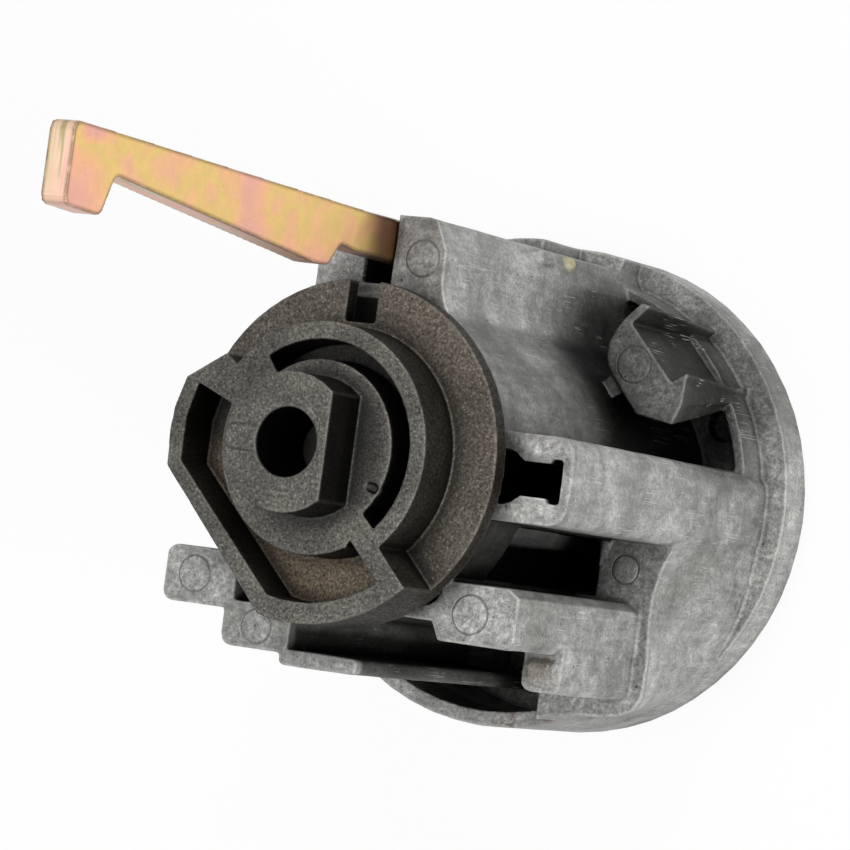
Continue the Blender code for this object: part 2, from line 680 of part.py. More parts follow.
def make_shutter(mat, spring_mat, parts, tools):
    """Sprung flap that closes the key's opening, its pin and its spring."""
    width, height, thick = SHUTTER
    flap_z = PLUG_FRONT + FIT
    half = height / 2
    gap = SHUTTER_SPRING_L + 2 * FIT
    flap = box(SHUTTER_PIN_X, SHUTTER_PIN_X + width, -half, half, flap_z, flap_z + thick)
    eye = side_cylinder(SHUTTER_EYE_R, (SHUTTER_PIN_X, -half + 0.02, SHUTTER_PIN_Z),
                        (SHUTTER_PIN_X, half - 0.02, SHUTTER_PIN_Z), "Y", 16)
    join(flap, eye, tools)
    cut(flap, side_cylinder(SHUTTER_PIN_R + FIT, (SHUTTER_PIN_X, -half - OVER, SHUTTER_PIN_Z),
                            (SHUTTER_PIN_X, half + OVER, SHUTTER_PIN_Z), "Y", 12), tools)
    room = SHUTTER_EYE_R + FIT
    cut(flap, box(SHUTTER_PIN_X - room, SHUTTER_PIN_X + room, -gap / 2, gap / 2,
                  flap_z + thick / 2, SHUTTER_PIN_Z + room), tools)
    shutter = finish_part(flap, "shutter", mat, parts)
    shift_origin(shutter, (SHUTTER_PIN_X, 0.0, SHUTTER_PIN_Z))
    pin_half = half + 2 * FIT + 0.7
    pin = side_cylinder(SHUTTER_PIN_R, (SHUTTER_PIN_X, -pin_half, SHUTTER_PIN_Z),
                        (SHUTTER_PIN_X, pin_half, SHUTTER_PIN_Z), "Y", 12)
    finish_part(pin, "shutter_pin", mat, parts)
    reach = SHUTTER_SPRING_L / 2 - SHUTTER_WIRE_R
    spring = coil(SHUTTER_SPRING_R, SHUTTER_WIRE_R, (SHUTTER_PIN_X, -reach, SHUTTER_PIN_Z),
                  (SHUTTER_PIN_X, reach, SHUTTER_PIN_Z), 4.0, "Y")
    finish_part(spring, "shutter_spring", spring_mat, parts)


def make_wafer(number, z, mat, parts, tools):
    """Brass wafer with its key window, its lug over the spring and its side bar notch."""
    width, height, thick = WAFER
    low = -height / 2 - WAFER_DROP
    high = height / 2 - WAFER_DROP
    reach, lug_h, lug_y = WAFER_LUG
    edge = width / 2
    depth, notch = SIDE_NOTCH
    outline = [(-edge, low), (edge, low), (edge, -notch / 2), (edge - depth, -notch / 2),
               (edge - depth, notch / 2), (edge, notch / 2), (edge, high), (-edge, high),
               (-edge, lug_y + lug_h), (-edge - reach, lug_y + lug_h), (-edge - reach, lug_y), (-edge, lug_y)]
    wafer = prism(outline, z - thick / 2, z + thick / 2)
    window_x = WAFER_WINDOW[0] / 2
    window_y = WAFER_WINDOW[1] / 2
    lift = WAFER_DROP * ((number % 3) - 1) / 2
    cut(wafer, prism(rounded_box(-window_x, window_x, -window_y - WAFER_DROP + lift,
                                 window_y - WAFER_DROP + lift, 0.6, 2), z - thick, z + thick), tools)
    finish_part(wafer, f"wafer_{number}", mat, parts)
    shift_origin(wafer, (0.0, -WAFER_DROP, z))


def make_wafers(mat, spring_mat, parts, tools):
    spring_x = -WAFER[0] / 2 - WAFER_LUG[0] / 2 - FIT / 2
    for i, z in enumerate(wafer_levels()):
        make_wafer(i + 1, z, mat, parts, tools)
        spring = coil(WAFER_SPRING_R, WAFER_WIRE_R, (spring_x, WAFER_SPRING_LOW + WAFER_WIRE_R, z),
                      (spring_x, WAFER_LUG[2] - FIT - WAFER_WIRE_R, z), 3.5, "Y", 8)
        finish_part(spring, f"wafer_spring_{i + 1}", spring_mat, parts)


def make_side_bar(mat, spring_mat, parts, tools):
    """Bar beside the wafers, drawn in flush with the plug, and its two springs."""
    depth, width, length = SIDE_BAR
    x1 = PLUG_R - FIT
    half = width / 2
    nose = half / 2
    outline = [(x1 - depth, -nose), (x1 - depth + 1.0, -half), (x1 - 0.4, -half), (x1, -nose),
               (x1, nose), (x1 - 0.4, half), (x1 - depth + 1.0, half), (x1 - depth, nose)]
    bar = prism(outline, SIDE_BAR_Z - length / 2, SIDE_BAR_Z + length / 2)
    finish_part(bar, "side_bar", mat, parts)
    shift_origin(bar, (x1 - depth / 2, 0.0, SIDE_BAR_Z))
    for i, z in enumerate(bar_spring_levels()):
        end = x1 - depth - FIT - BAR_WIRE_R
        spring = coil(BAR_SPRING_R, BAR_WIRE_R, (end - BAR_SPRING_L + 2 * FIT, 0.0, z), (end, 0.0, z), 3.0, "X", 8)
        finish_part(spring, f"side_bar_spring_{i + 1}", spring_mat, parts)


def make_clip(mat, parts, tools):
    inner, outer, thick = CLIP
    z = BORE_STEP + FIT
    clip = sector(inner, outer, CLIP_GAP / 2, 360.0 - CLIP_GAP / 2, z, z + thick, 24)
    return finish_part(clip, "retaining_clip", mat, parts)


def make_return_spring(mat, parts):
    """Torsion spring round the rotor's hub, in the wide end of the bore."""
    radius = BORE_BACK_R - FIT - RETURN_WIRE_R
    low = BODY_TOP - RETURN_WIRE_R - RETURN_TURNS * RETURN_PITCH
    spring = coil(radius, RETURN_WIRE_R, (0.0, 0.0, low), (0.0, 0.0, BODY_TOP - RETURN_WIRE_R),
                  RETURN_TURNS, "Z", 20)
    return finish_part(spring, "return_spring", mat, parts)


def make_rotor(mat, parts, tools):
    """Sintered rotor: flange, ring with its arc slot, walled arm, D-shaped boss and hub."""
    rotor = cylinder(RING_R, ROTOR_LOW, RING_TOP, segments=ROUND)
    flange = [(0.0, 0.0)] + arc(FLANGE_R, FLANGE_START, FLANGE_END, 34)
    join(rotor, prism(flange, ROTOR_LOW - 0.01, FLANGE_TOP), tools)
    arm = arc(PAN_R, PAN_ARC[0], PAN_ARC[1], 10)
    arm += [PAN_JOIN, (0.0, 0.0), PAN_NECK, PAN_SHOULDER, (PAN_LEFT_X + 0.2, PAN_LEFT_TOP_Y),
            (PAN_LEFT_X, 0.0), (PAN_LEFT_X + 0.2, PAN_LEFT_LOW_Y)]
    join(rotor, prism(arm, ROTOR_LOW + 0.01, RING_TOP - 0.01), tools)
    join(rotor, cylinder(HUB_R, PLUG_END + FIT, ROTOR_LOW + SINK), tools)
    boss = arc(BOSS_R, 50.0, 310.0, 22)
    flat_y = math.sqrt(BOSS_R ** 2 - BOSS_FLAT ** 2)
    boss = [(BOSS_FLAT, -flat_y), (BOSS_FLAT, flat_y)] + boss[1:-1]
    join(rotor, prism(boss, RING_TOP - SINK, BOSS_TOP), tools)
    # pan: the floor between the arm's walls and the round deck
    inner = arc(PAN_R - PAN_WALL, PAN_ARC[0] + 1.0, PAN_ARC[1] - 8.0, 8)
    inner += [(4.6, -7.4)]
    inner += arc(ARC_SLOT[1], -62.0, -198.0, 14)
    inner += [(PAN_SHOULDER[0] + 1.3, PAN_FLOOR_TOP_Y), (PAN_LEFT_X + PAN_SIDE_WALL, PAN_LEFT_TOP_Y - 0.8),
              (PAN_LEFT_X + PAN_SIDE_WALL, PAN_LEFT_LOW_Y + 0.6)]
    cut(rotor, prism(inner, PAN_FLOOR, RING_TOP + OVER), tools)
    slot_in, slot_out, first, last = ARC_SLOT
    cut(rotor, sector(slot_in, slot_out, first, last, ARC_SLOT_FLOOR, RING_TOP + OVER, 20), tools)
    x0, x1, y0 = RADIAL_SLOT
    cut(rotor, box(x0, x1, y0, FLANGE_R + OVER, ROTOR_LOW - OVER, FLANGE_TOP + OVER), tools)
    tx0, tx1, ty0, ty1, tab_h = DECK_TAB
    join(rotor, box(tx0, tx1, ty0, ty1, RING_TOP - SINK, RING_TOP + tab_h), tools)
    cut(rotor, cylinder(DRIVE_HOLE_R, PLUG_END - OVER, BOSS_TOP + OVER, segments=32), tools)
    thick, wide, high = TONGUE
    cut(rotor, box(-wide / 2 - FIT, wide / 2 + FIT, -thick / 2 - FIT, thick / 2 + FIT,
                   PLUG_END - OVER, PLUG_END + high + FIT), tools)
    return finish_part(rotor, "drive_rotor", mat, parts)


def make_tail_pin(mat, parts):
    pin = cylinder(TAIL_PIN_R, TAIL_PIN_LOW, TAIL_PIN_TOP)
    return finish_part(pin, "tail_pin", mat, parts)


def round_corner(before, corner, after, radius, steps=3):
    """Points of an arc that rounds one corner of an outline."""
    a = (Vector(before) - Vector(corner)).normalized()
    b = (Vector(after) - Vector(corner)).normalized()
    half = a.angle(b) / 2
    reach = radius / math.tan(half)
    centre = Vector(corner) + (a + b).normalized() * (radius / math.sin(half))
    start = Vector(corner) + a * reach - centre
    end = Vector(corner) + b * reach - centre
    turn = start.angle_signed(end)
    points = []
    for i in range(steps + 1):
        angle = -turn * i / steps
        x = start.x * math.cos(angle) - start.y * math.sin(angle)
        y = start.x * math.sin(angle) + start.y * math.cos(angle)
        points.append((centre.x + x, centre.y + y))
    return points


def make_lever(mat, pin_mat, spring_mat, parts, tools):
    """Plated steel lever with a hooked tip, on a pin in the top block, with its spring."""
    knee_y, knee_z = LEVER_KNEE
    hook_y, hook_z = LEVER_HOOK
    corners = [(LEVER_TOP_Y - 0.2, LEVER_TAIL_Z), (LEVER_TOP_Y, BODY_TOP), (LEVER_TOP_TIP_Y, LEVER_TIP_Z),
               (hook_y + 0.2, LEVER_TIP_Z), (hook_y, hook_z), (LEVER_BAR_Y, LEVER_BAR_Z + 1.0),
               (LEVER_BAR_Y - 0.2, LEVER_BAR_Z - 1.0), (knee_y, knee_z + 2.0), (knee_y + 0.1, knee_z),
               (LEVER_NECK_Y + 0.3, LEVER_NECK_Z + 0.4), (LEVER_NECK_Y, LEVER_NECK_Z - 2.0),
               (LEVER_NECK_Y - 0.3, LEVER_TAIL_Z)]
    outline = []
    count = len(corners)
    for i, corner in enumerate(corners):
        outline += round_corner(corners[i - 1], corner, corners[(i + 1) % count], LEVER_ROUND * 0.8, 2)
    shape = stand_across(prism(outline, LEVER_X - LEVER_T / 2, LEVER_X + LEVER_T / 2))
    hole = side_cylinder(LEVER_PIN_R + FIT, (LEVER_X - LEVER_T, LEVER_PIN_Y, LEVER_PIN_Z),
                         (LEVER_X + LEVER_T, LEVER_PIN_Y, LEVER_PIN_Z), "X")
    cut(shape, hole, tools)
    lever = finish_part(shape, "lever", mat, parts)
    shift_origin(lever, (LEVER_X, LEVER_PIN_Y, LEVER_PIN_Z))
    pin = side_cylinder(LEVER_PIN_R, (BLOCK_X[0] + FIT, LEVER_PIN_Y, LEVER_PIN_Z),
                        (LEVER_PIN_END - FIT, LEVER_PIN_Y, LEVER_PIN_Z), "X")
    finish_part(pin, "lever_pin", pin_mat, parts)
    spring = coil(LEVER_SPRING_R, LEVER_WIRE_R, (LEVER_X, LEVER_SPRING_LOW + LEVER_WIRE_R, LEVER_SPRING_Z),
                  (LEVER_X, LEVER_NECK_Y - 3 * FIT - LEVER_WIRE_R, LEVER_SPRING_Z), 4.5, "Y", 9)
    finish_part(spring, "lever_spring", spring_mat, parts)


def clear_scene():
    for obj in list(bpy.data.objects):
        bpy.data.objects.remove(obj, do_unlink=True)


def main():
    clear_scene()
    parts = make_collection("Ignition lock cylinder")
    tools = make_collection("Construction")
    zinc = make_material("die-cast zinc", (0.36, 0.36, 0.35), 0.75, 0.5)
    plug_zinc = make_material("plated zinc", (0.45, 0.45, 0.44), 0.8, 0.38)
    sinter = make_material("sintered steel", (0.16, 0.145, 0.13), 0.7, 0.6)
    chromate = make_material("yellow chromate on steel", (0.78, 0.5, 0.24), 0.7, 0.35)
    steel = make_material("bright steel", (0.5, 0.5, 0.5), 0.95, 0.3)
    spring_steel = make_material("spring steel wire", (0.3, 0.3, 0.3), 0.9, 0.35)
    brass = make_material("stamped brass", (0.62, 0.47, 0.2), 0.9, 0.35)
    make_housing(zinc, parts, tools)
    make_plug(plug_zinc, parts, tools)
    make_cap(steel, parts, tools)
    make_shutter(steel, spring_steel, parts, tools)
    make_wafers(brass, spring_steel, parts, tools)
    make_side_bar(brass, spring_steel, parts, tools)
    make_clip(spring_steel, parts, tools)
    make_return_spring(spring_steel, parts)
    make_rotor(sinter, parts, tools)
    make_tail_pin(steel, parts)
    make_lever(chromate, steel, spring_steel, parts, tools)


main()
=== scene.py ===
# %% [markdown]
# # Ignition lock cylinder
# A die-cast zinc lock housing seen from its drive end, with a dark sintered rotor and a yellow plated
# lever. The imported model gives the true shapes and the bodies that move. This script dresses it: cast
# skins with soft edges, plated and sintered finishes, the marks that the moulds leave, and the light.

# %% Load the fixed frame
import json
import math

import bmesh
import bpy
import numpy as np
from mathutils import Matrix, Vector

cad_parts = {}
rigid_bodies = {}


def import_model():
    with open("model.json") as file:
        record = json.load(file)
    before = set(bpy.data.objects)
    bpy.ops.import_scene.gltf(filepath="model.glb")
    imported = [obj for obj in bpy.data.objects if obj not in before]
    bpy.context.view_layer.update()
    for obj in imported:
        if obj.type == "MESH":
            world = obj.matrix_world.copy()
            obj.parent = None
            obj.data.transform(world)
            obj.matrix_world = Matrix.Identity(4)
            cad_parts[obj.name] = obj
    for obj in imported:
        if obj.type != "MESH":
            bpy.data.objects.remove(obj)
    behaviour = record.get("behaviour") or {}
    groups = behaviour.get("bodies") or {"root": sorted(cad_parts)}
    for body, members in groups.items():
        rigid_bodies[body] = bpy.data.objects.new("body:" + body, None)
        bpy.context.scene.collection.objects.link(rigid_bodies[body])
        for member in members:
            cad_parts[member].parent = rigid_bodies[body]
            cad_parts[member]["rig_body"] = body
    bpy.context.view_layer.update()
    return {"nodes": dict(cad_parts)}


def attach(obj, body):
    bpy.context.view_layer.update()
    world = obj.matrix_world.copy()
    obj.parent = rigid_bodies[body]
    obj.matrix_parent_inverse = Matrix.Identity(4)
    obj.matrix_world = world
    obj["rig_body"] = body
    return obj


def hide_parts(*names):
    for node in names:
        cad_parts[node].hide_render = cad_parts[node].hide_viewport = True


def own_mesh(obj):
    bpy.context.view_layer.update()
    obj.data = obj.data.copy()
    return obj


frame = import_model()
MM = 0.001

# %% [markdown]
# ## Camera
# The view is almost down the lock's axis, from a little to the right of the rails. A long lens keeps the
# drive end only slightly larger than the head. The camera is aimed at one point and then rolled about
# its own view line, which is easier to read than a matrix.

# %% Camera at the photograph's angle
CAMERA_SPOT = Vector((0.18226, -0.00848, 0.35885))
CAMERA_AIM = Vector((0.00599, 0.00319, 0.04517))
CAMERA_ROLL = -79.017
LENS = 178.28
SENSOR = 36.0
NEAREST = 0.01

camera = bpy.data.objects.new("camera", bpy.data.cameras.new("camera"))
bpy.context.scene.collection.objects.link(camera)
look = (CAMERA_AIM - CAMERA_SPOT).to_track_quat("-Z", "Y").to_matrix().to_4x4()
roll = Matrix.Rotation(math.radians(CAMERA_ROLL), 4, "Z")
camera.matrix_world = Matrix.Translation(CAMERA_SPOT) @ look @ roll
camera.data.lens = LENS
camera.data.sensor_width = SENSOR
camera.data.clip_start = NEAREST
bpy.context.scene.camera = camera
bpy.context.scene.view_settings.view_transform = "Standard"
print("camera looks from", tuple(round(v, 3) for v in camera.matrix_world.translation))

# %% [markdown]
# ## Nodes in plain words
# A material is a recipe, and it reads best from top to bottom in plain words. A short table says which
# node each word stands for, and one function adds any of them. Colours are written as they look on a
# screen and turned to linear light by one function. A pattern's scale comes from its grain's real size.

# %% Colour and scale
def linear(hex_colour, alpha=1.0):
    """sRGB hex to linear RGBA: below 0.04045 divide by 12.92, above it the 2.4 power curve."""
    values = [int(hex_colour[i:i + 2], 16) / 255 for i in (1, 3, 5)]
    return tuple(v / 12.92 if v <= 0.04045 else ((v + 0.055) / 1.055) ** 2.4 for v in values) + (alpha,)


def grain(size_mm):
    """Noise scale whose features are about size_mm wide, when the coordinates are in metres."""
    return 1.0 / (size_mm * MM)


print("a 0.3 mm grain has scale", round(grain(0.3)))

# %% The words and their nodes
MATH = "ShaderNodeMath"
MIX = "ShaderNodeMix"
RANGE = "ShaderNodeMapRange"
RAYS = "ShaderNodeAmbientOcclusion"
NODES = {
    # word: the node, its settings, its inputs in the order of the values, and the output that is used
    "coordinates": ("ShaderNodeTexCoord", {}, (), "Object"),
    "normal": ("ShaderNodeNewGeometry", {}, (), "Normal"),
    "light path": ("ShaderNodeLightPath", {}, (), 0),
    "axes": ("ShaderNodeSeparateXYZ", {}, (0,), 0),
    "channels": ("ShaderNodeSeparateColor", {}, (0,), 0),
    "stretch": ("ShaderNodeMapping", {}, ("Vector", "Scale"), 0),
    "noise": ("ShaderNodeTexNoise", {}, ("Vector", "Scale", "Detail", "Roughness", "Distortion"), 0),
    "cells": ("ShaderNodeTexVoronoi", {}, ("Vector", "Scale", "Randomness"), "Distance"),
    "distance": ("ShaderNodeVectorMath", {"operation": "DISTANCE"}, (0, 1), "Value"),
    "size": (MATH, {"operation": "ABSOLUTE"}, (0,), 0),
    "root": (MATH, {"operation": "SQRT"}, (0,), 0),
    "plus": (MATH, {"operation": "ADD"}, (0, 1), 0),
    "less": (MATH, {"operation": "SUBTRACT"}, (0, 1), 0),
    "times": (MATH, {"operation": "MULTIPLY"}, (0, 1), 0),
    "larger": (MATH, {"operation": "MAXIMUM"}, (0, 1), 0),
    "smaller": (MATH, {"operation": "MINIMUM"}, (0, 1), 0),
    "slope": (RANGE, {}, (0, 1, 2, 3, 4), 0),
    "soft step": (RANGE, {"interpolation_type": "SMOOTHSTEP"}, (0, 1, 2, 3, 4), 0),
    "between": (MIX, {"data_type": "FLOAT"}, (0, 2, 3), 0),
    "cover": (MIX, {"data_type": "RGBA", "blend_type": "MIX"}, (0, 6, 7), 2),
    "tint": (MIX, {"data_type": "RGBA", "blend_type": "MULTIPLY"}, (0, 6, 7), 2),
    "overlay": (MIX, {"data_type": "RGBA", "blend_type": "OVERLAY"}, (0, 6, 7), 2),
    "ramp": ("ShaderNodeValToRGB", {}, (0,), 0),
    "rays inside": (RAYS, {"samples": 5, "inside": True}, ("Distance",), "AO"),
    "rays outside": (RAYS, {"samples": 6}, ("Distance",), "AO"),
    "bump": ("ShaderNodeBump", {}, ("Height", "Distance", "Strength", "Normal"), 0),
    "matt": ("ShaderNodeBsdfDiffuse", {}, ("Color",), 0),
    "glow": ("ShaderNodeEmission", {}, ("Color", "Strength"), 0),
    "sky": ("ShaderNodeBackground", {}, ("Color", "Strength"), 0),
    "either": ("ShaderNodeMixShader", {}, (0, 1, 2), 0),
    "surface": ("ShaderNodeOutputMaterial", {}, (0,), None),
    "world": ("ShaderNodeOutputWorld", {}, (0,), None),
}
print(len(NODES), "words")

# %% One function that adds any of them
def add(tree, word, *values, stops=()):
    """Add a word's node and return its main output. Each value goes to its input, a socket as a link and
    a hex colour in linear light. A ramp also takes its stops, pairs of a rising position and a colour."""
    kind, settings, inputs, output = NODES[word]
    node = tree.nodes.new(kind)
    for name, setting in settings.items():
        setattr(node, name, setting)
    for place, value in zip(inputs, values):
        if isinstance(value, bpy.types.NodeSocket):
            tree.links.new(value, node.inputs[place])
        else:
            node.inputs[place].default_value = linear(value) if isinstance(value, str) else value
    if stops:
        bar = node.color_ramp.elements
        bar.remove(bar[1])
        for index, (position, colour) in enumerate(stops):
            stop = bar.new(position) if index else bar[0]
            stop.position, stop.color = position, linear(colour)
    return None if output is None else node.outputs[output]


def start_material(name):
    """A new material with its tree, its Principled shader and the object coordinates."""
    mat = bpy.data.materials.new(name)
    mat.use_nodes = True
    tree = mat.node_tree
    return mat, tree, tree.nodes["Principled BSDF"], add(tree, "coordinates")


def bump_chain(tree, shader, *layers):
    """Stack bumps: each layer is (height socket, depth in mm, strength), and starts from the last normal."""
    last = ()
    for height, depth_mm, strength in layers:
        last = (add(tree, "bump", height, depth_mm * MM, strength, *last),)
    tree.links.new(last[0], shader.inputs["Normal"])


print("materials can be started")

# %% [markdown]
# ## Masks
# A mask is a number from 0 to 1 over the surface that says where a finish shows. Masks come from height,
# from the distance to an axis or a spot, and from short rays that find outer edges and inner corners.
# They multiply like probabilities, so simple ones make the rare ones.

# %% Masks from numbers
NOISE_LOW, NOISE_HIGH = 0.35, 0.65


def all_of(tree, *masks):
    """1 only where every mask is 1: their product."""
    total = masks[0]
    for mask in masks[1:]:
        total = add(tree, "times", total, mask)
    return total


def largest(tree, *masks):
    """1 where any mask is 1: the largest of them."""
    total = masks[0]
    for mask in masks[1:]:
        total = add(tree, "larger", total, mask)
    return total


def vary(tree, value, share):
    """A brightness factor that follows a noise from 1 - share to 1 + share."""
    return add(tree, "slope", value, NOISE_LOW, NOISE_HIGH, 1.0 - share, 1.0 + share)


def above(tree, value, low_mm, high_mm):
    """0 up to the low level and 1 past the high one."""
    return add(tree, "soft step", value, low_mm * MM, high_mm * MM)


def below(tree, value, low_mm, high_mm, most=1.0):
    """Most up to the low level and 0 past the high one."""
    return add(tree, "soft step", value, low_mm * MM, high_mm * MM, most, 0.0)


def within(tree, value, low_mm, high_mm, soft_mm=0.25):
    """1 between two levels in millimetres, with soft ends outside them."""
    rise = above(tree, value, low_mm - soft_mm, low_mm)
    fall = below(tree, value, high_mm, high_mm + soft_mm)
    return all_of(tree, rise, fall)


print("a noise runs mostly from", NOISE_LOW, "to", NOISE_HIGH)

# %% Masks from places and from rays
def from_axis(tree, x, y):
    """Distance from an axis along Z: the root of x squared plus y squared."""
    return add(tree, "root", add(tree, "plus", add(tree, "times", x, x), add(tree, "times", y, y)))


def near(tree, coords, spot, inner_mm, outer_mm):
    """1 within inner_mm of a spot, falling to 0 at outer_mm."""
    return below(tree, add(tree, "distance", coords, Vector(spot) * MM), inner_mm, outer_mm)


def edge_wear_and_shade(tree, width_mm):
    """1 on outer edges, where wear and painted shade lines go: rays into the metal meet the next face within
    width_mm.
    """
    return add(tree, "soft step", add(tree, "rays inside", width_mm * MM), 0.6, 0.97, 1.0, 0.0)


def corner_shade(tree, width_mm, deepest, open_air):
    """1 in corners and hollows narrower than about width_mm, 0 in open air: where shade is painted."""
    return add(tree, "soft step", add(tree, "rays outside", width_mm * MM), deepest, open_air, 1.0, 0.0)


def cover(tree, skin, mask, share, colour):
    """Lay a share of a colour over the skin where the mask is 1."""
    return add(tree, "cover", add(tree, "times", mask, share), skin, colour)


def darken(tree, skin, mask, share, colour):
    """Tint the skin by a share of a colour where the mask is 1, as a film on it does."""
    return add(tree, "tint", add(tree, "times", mask, share), skin, colour)


print("masks ready")

# %% [markdown]
# ## Die-cast zinc
# Molten zinc is pressed into a steel mould, so the skin is dull grey, mottled where the metal chilled in
# flow lines, and brighter and more crystalline on the ends that the mould's faces pressed flat. Handling
# leaves fine scratches and pale rubbed edges. Painted shade darkens the corners, the hollows, the barrel,
# the bore and the slots, with a dark line beside the edges. The ejector pins that push the casting out
# leave round marks. All of it is drawn from Object coordinates, in real millimetres.

# %% Places on the casting, in millimetres
EJECTOR_MARKS = (
    # middle, radius
    ((-15.3, -12.1, 44.7), 1.6), ((-8.4, -15.9, 44.6), 1.5),
    ((12.5, -12.35, 44.7), 1.7), ((3.4, 17.4, 44.85), 1.6), ((13.1, 11.6, 21.4), 1.67),
    ((15.0, -6.7, 21.52), 1.3), ((-16.0, 0.0, 40.0), 1.6),
)
# middle of the painted shade round the post
POCKET = (12.0, 10.5, 15.5)
GATE_END = (15.0, -16.6, 35.1)
# middle of the painted shade on the block's flat end
BLOCK_END = (2.0, 17.0, 45.0)
YELLOW_LUMP = (4.8, 20.1, 20.6)
RUST_SPOTS = ((6.5, -20.6, 17.0), (9.5, -19.6, 17.0), (3.0, -21.6, 17.0))
# a pair with soft ends goes from where its mask is 1 to where it is 0, or the other way round
BORE_R, BORE_Z = (13.2, 13.7), (4.0, 44.3)
BARREL_R = (14.2, 15.0)
CUP_X, CUP_Y, CUP_FLOOR = (6.0, 8.0), (-16.0, -15.0), (9.0, 12.0)
FINS_R, FINS_Z = (19.4, 20.2), (12.0, 43.0)
# where the barrel's painted shade is at half strength
HALF_SHADE_Y, HALF_SHADE_Z = (-2.0, 1.0), (20.0, 31.0)
# rooms where shade is painted nearly black
DARK_ROOMS = {
    # room: x, y and z ranges
    "key slot": ((10.0, 19.5), (-2.25, 1.65), (20.0, 44.4)),
    "well": ((6.0, 12.35), (-9.3, -4.2), (5.0, 34.0)),
    "lever slot": ((-2.35, 0.65), (14.0, 20.4), (20.0, 44.2)),
    "foot of the slot": ((-3.0, 1.0), (8.0, 13.5), (44.0, 45.3)),
}
print(len(EJECTOR_MARKS), "ejector marks,", len(RUST_SPOTS), "rust spots,", len(DARK_ROOMS), "dark rooms")

# %% Marks and rooms as masks
RING_WIDTH = 0.13


def ring_marks(tree, coords):
    """1 on the circles around the marks: the distance to a mark's middle is close to its radius."""
    rings = []
    for spot, radius in EJECTOR_MARKS:
        away = add(tree, "distance", coords, Vector(spot) * MM)
        off = add(tree, "size", add(tree, "less", away, radius * MM))
        rings.append(below(tree, off, 0.2 * RING_WIDTH, RING_WIDTH))
    return largest(tree, *rings)


def room_shade(tree, x, y, z, out):
    """1 inside the bore and behind the slots, where shade is painted nearly black."""
    rooms = [all_of(tree, below(tree, out, *BORE_R), within(tree, z, *BORE_Z))]
    for ranges in DARK_ROOMS.values():
        rooms.append(all_of(tree, *(within(tree, axis, *ends) for axis, ends in zip((x, y, z), ranges))))
    return largest(tree, *rooms)


print("rings are", RING_WIDTH, "mm wide")

# %% The mottled skin of the casting
def zinc_patterns(tree, coords):
    """Chill clouds of 7 mm and 1.6 mm, fine grain, and the coarse crystals of a flat end."""
    return {
        "broad": add(tree, "noise", coords, grain(7.0), 4.0, 0.6, 0.6),
        "cloudy": add(tree, "noise", coords, grain(1.6), 8.0, 0.76, 0.3),
        "fine": add(tree, "noise", coords, grain(0.3), 4.0, 0.8),
        "crystal": add(tree, "noise", coords, grain(0.55), 6.0, 0.85),
    }


def zinc_tone(tree, coords, made, flat_end):
    """Three greys over the broad clouds, made lighter and darker by each finer pattern."""
    skin = add(tree, "ramp", made["broad"], stops=((0.38, "#92928e"), (0.5, "#9a9a98"), (0.62, "#a2a29f")))
    # faint lines along Z, the way the mould was pulled
    drawn = add(tree, "noise", add(tree, "stretch", coords, (1.0, 1.0, 0.2)), grain(0.7), 5.0, 0.6)
    shade = all_of(tree, vary(tree, made["broad"], 0.2), vary(tree, made["cloudy"], 0.3),
                   vary(tree, made["fine"], 0.32), vary(tree, drawn, 0.14),
                   add(tree, "between", flat_end, 1.0, vary(tree, made["crystal"], 0.5)))
    return add(tree, "tint", 1.0, skin, shade)


def zinc_flaws(tree, coords, made, skin):
    """Grey-brown stains, thin dark flow lines where a noise crosses its middle, and rare dark specks."""
    stain = add(tree, "soft step", add(tree, "noise", coords, grain(4.5), 5.0, 0.7, 1.2), 0.54, 0.68)
    skin = cover(tree, skin, stain, 0.35, "#6c6a64")
    ridge = add(tree, "noise", coords, grain(2.6), 5.0, 0.6, 0.7)
    flow = add(tree, "soft step", add(tree, "size", add(tree, "less", ridge, 0.5)), 0.0, 0.01, 1.0, 0.0)
    flow = all_of(tree, flow, add(tree, "soft step", made["cloudy"], 0.44, 0.56))
    skin = cover(tree, skin, flow, 0.5, "#474643")
    cells = add(tree, "cells", coords, grain(1.2), 1.0)
    luck = add(tree, "channels", cells.node.outputs["Color"]).node.outputs[1]
    middle = add(tree, "soft step", cells, 0.05, 0.13, 1.0, 0.0)
    dot = all_of(tree, middle, add(tree, "soft step", luck, 0.62, 0.66))
    return cover(tree, skin, dot, 0.75, "#32312f"), dot


print("mottled skin ready")

# %% Wear and painted shade on the casting
def zinc_edges(tree, made, skin):
    """Edges rubbed pale in stretches, a painted shade line beside them, and painted shade in the corners."""
    cloudy = made["cloudy"]
    rim = edge_wear_and_shade(tree, 0.35)
    # painted shade: a dark line along each outer edge, just inside the pale rim
    edge_shade_line = all_of(tree, edge_wear_and_shade(tree, 1.0), add(tree, "soft step", rim, 0.0, 0.8, 1.0, 0.0),
                    add(tree, "soft step", cloudy, 0.4, 0.55, 0.3, 1.0))
    skin = cover(tree, skin, edge_shade_line, 0.5, "#4f4e4a")
    rubbed = all_of(tree, rim, add(tree, "soft step", cloudy, 0.42, 0.58, 0.2, 1.0))
    skin = cover(tree, skin, rubbed, 0.6, "#d2d2cd")
    # painted shade in corners narrower than about 0.9 mm
    return darken(tree, skin, corner_shade(tree, 0.9, 0.55, 0.93), 0.7, "#4e4c49")


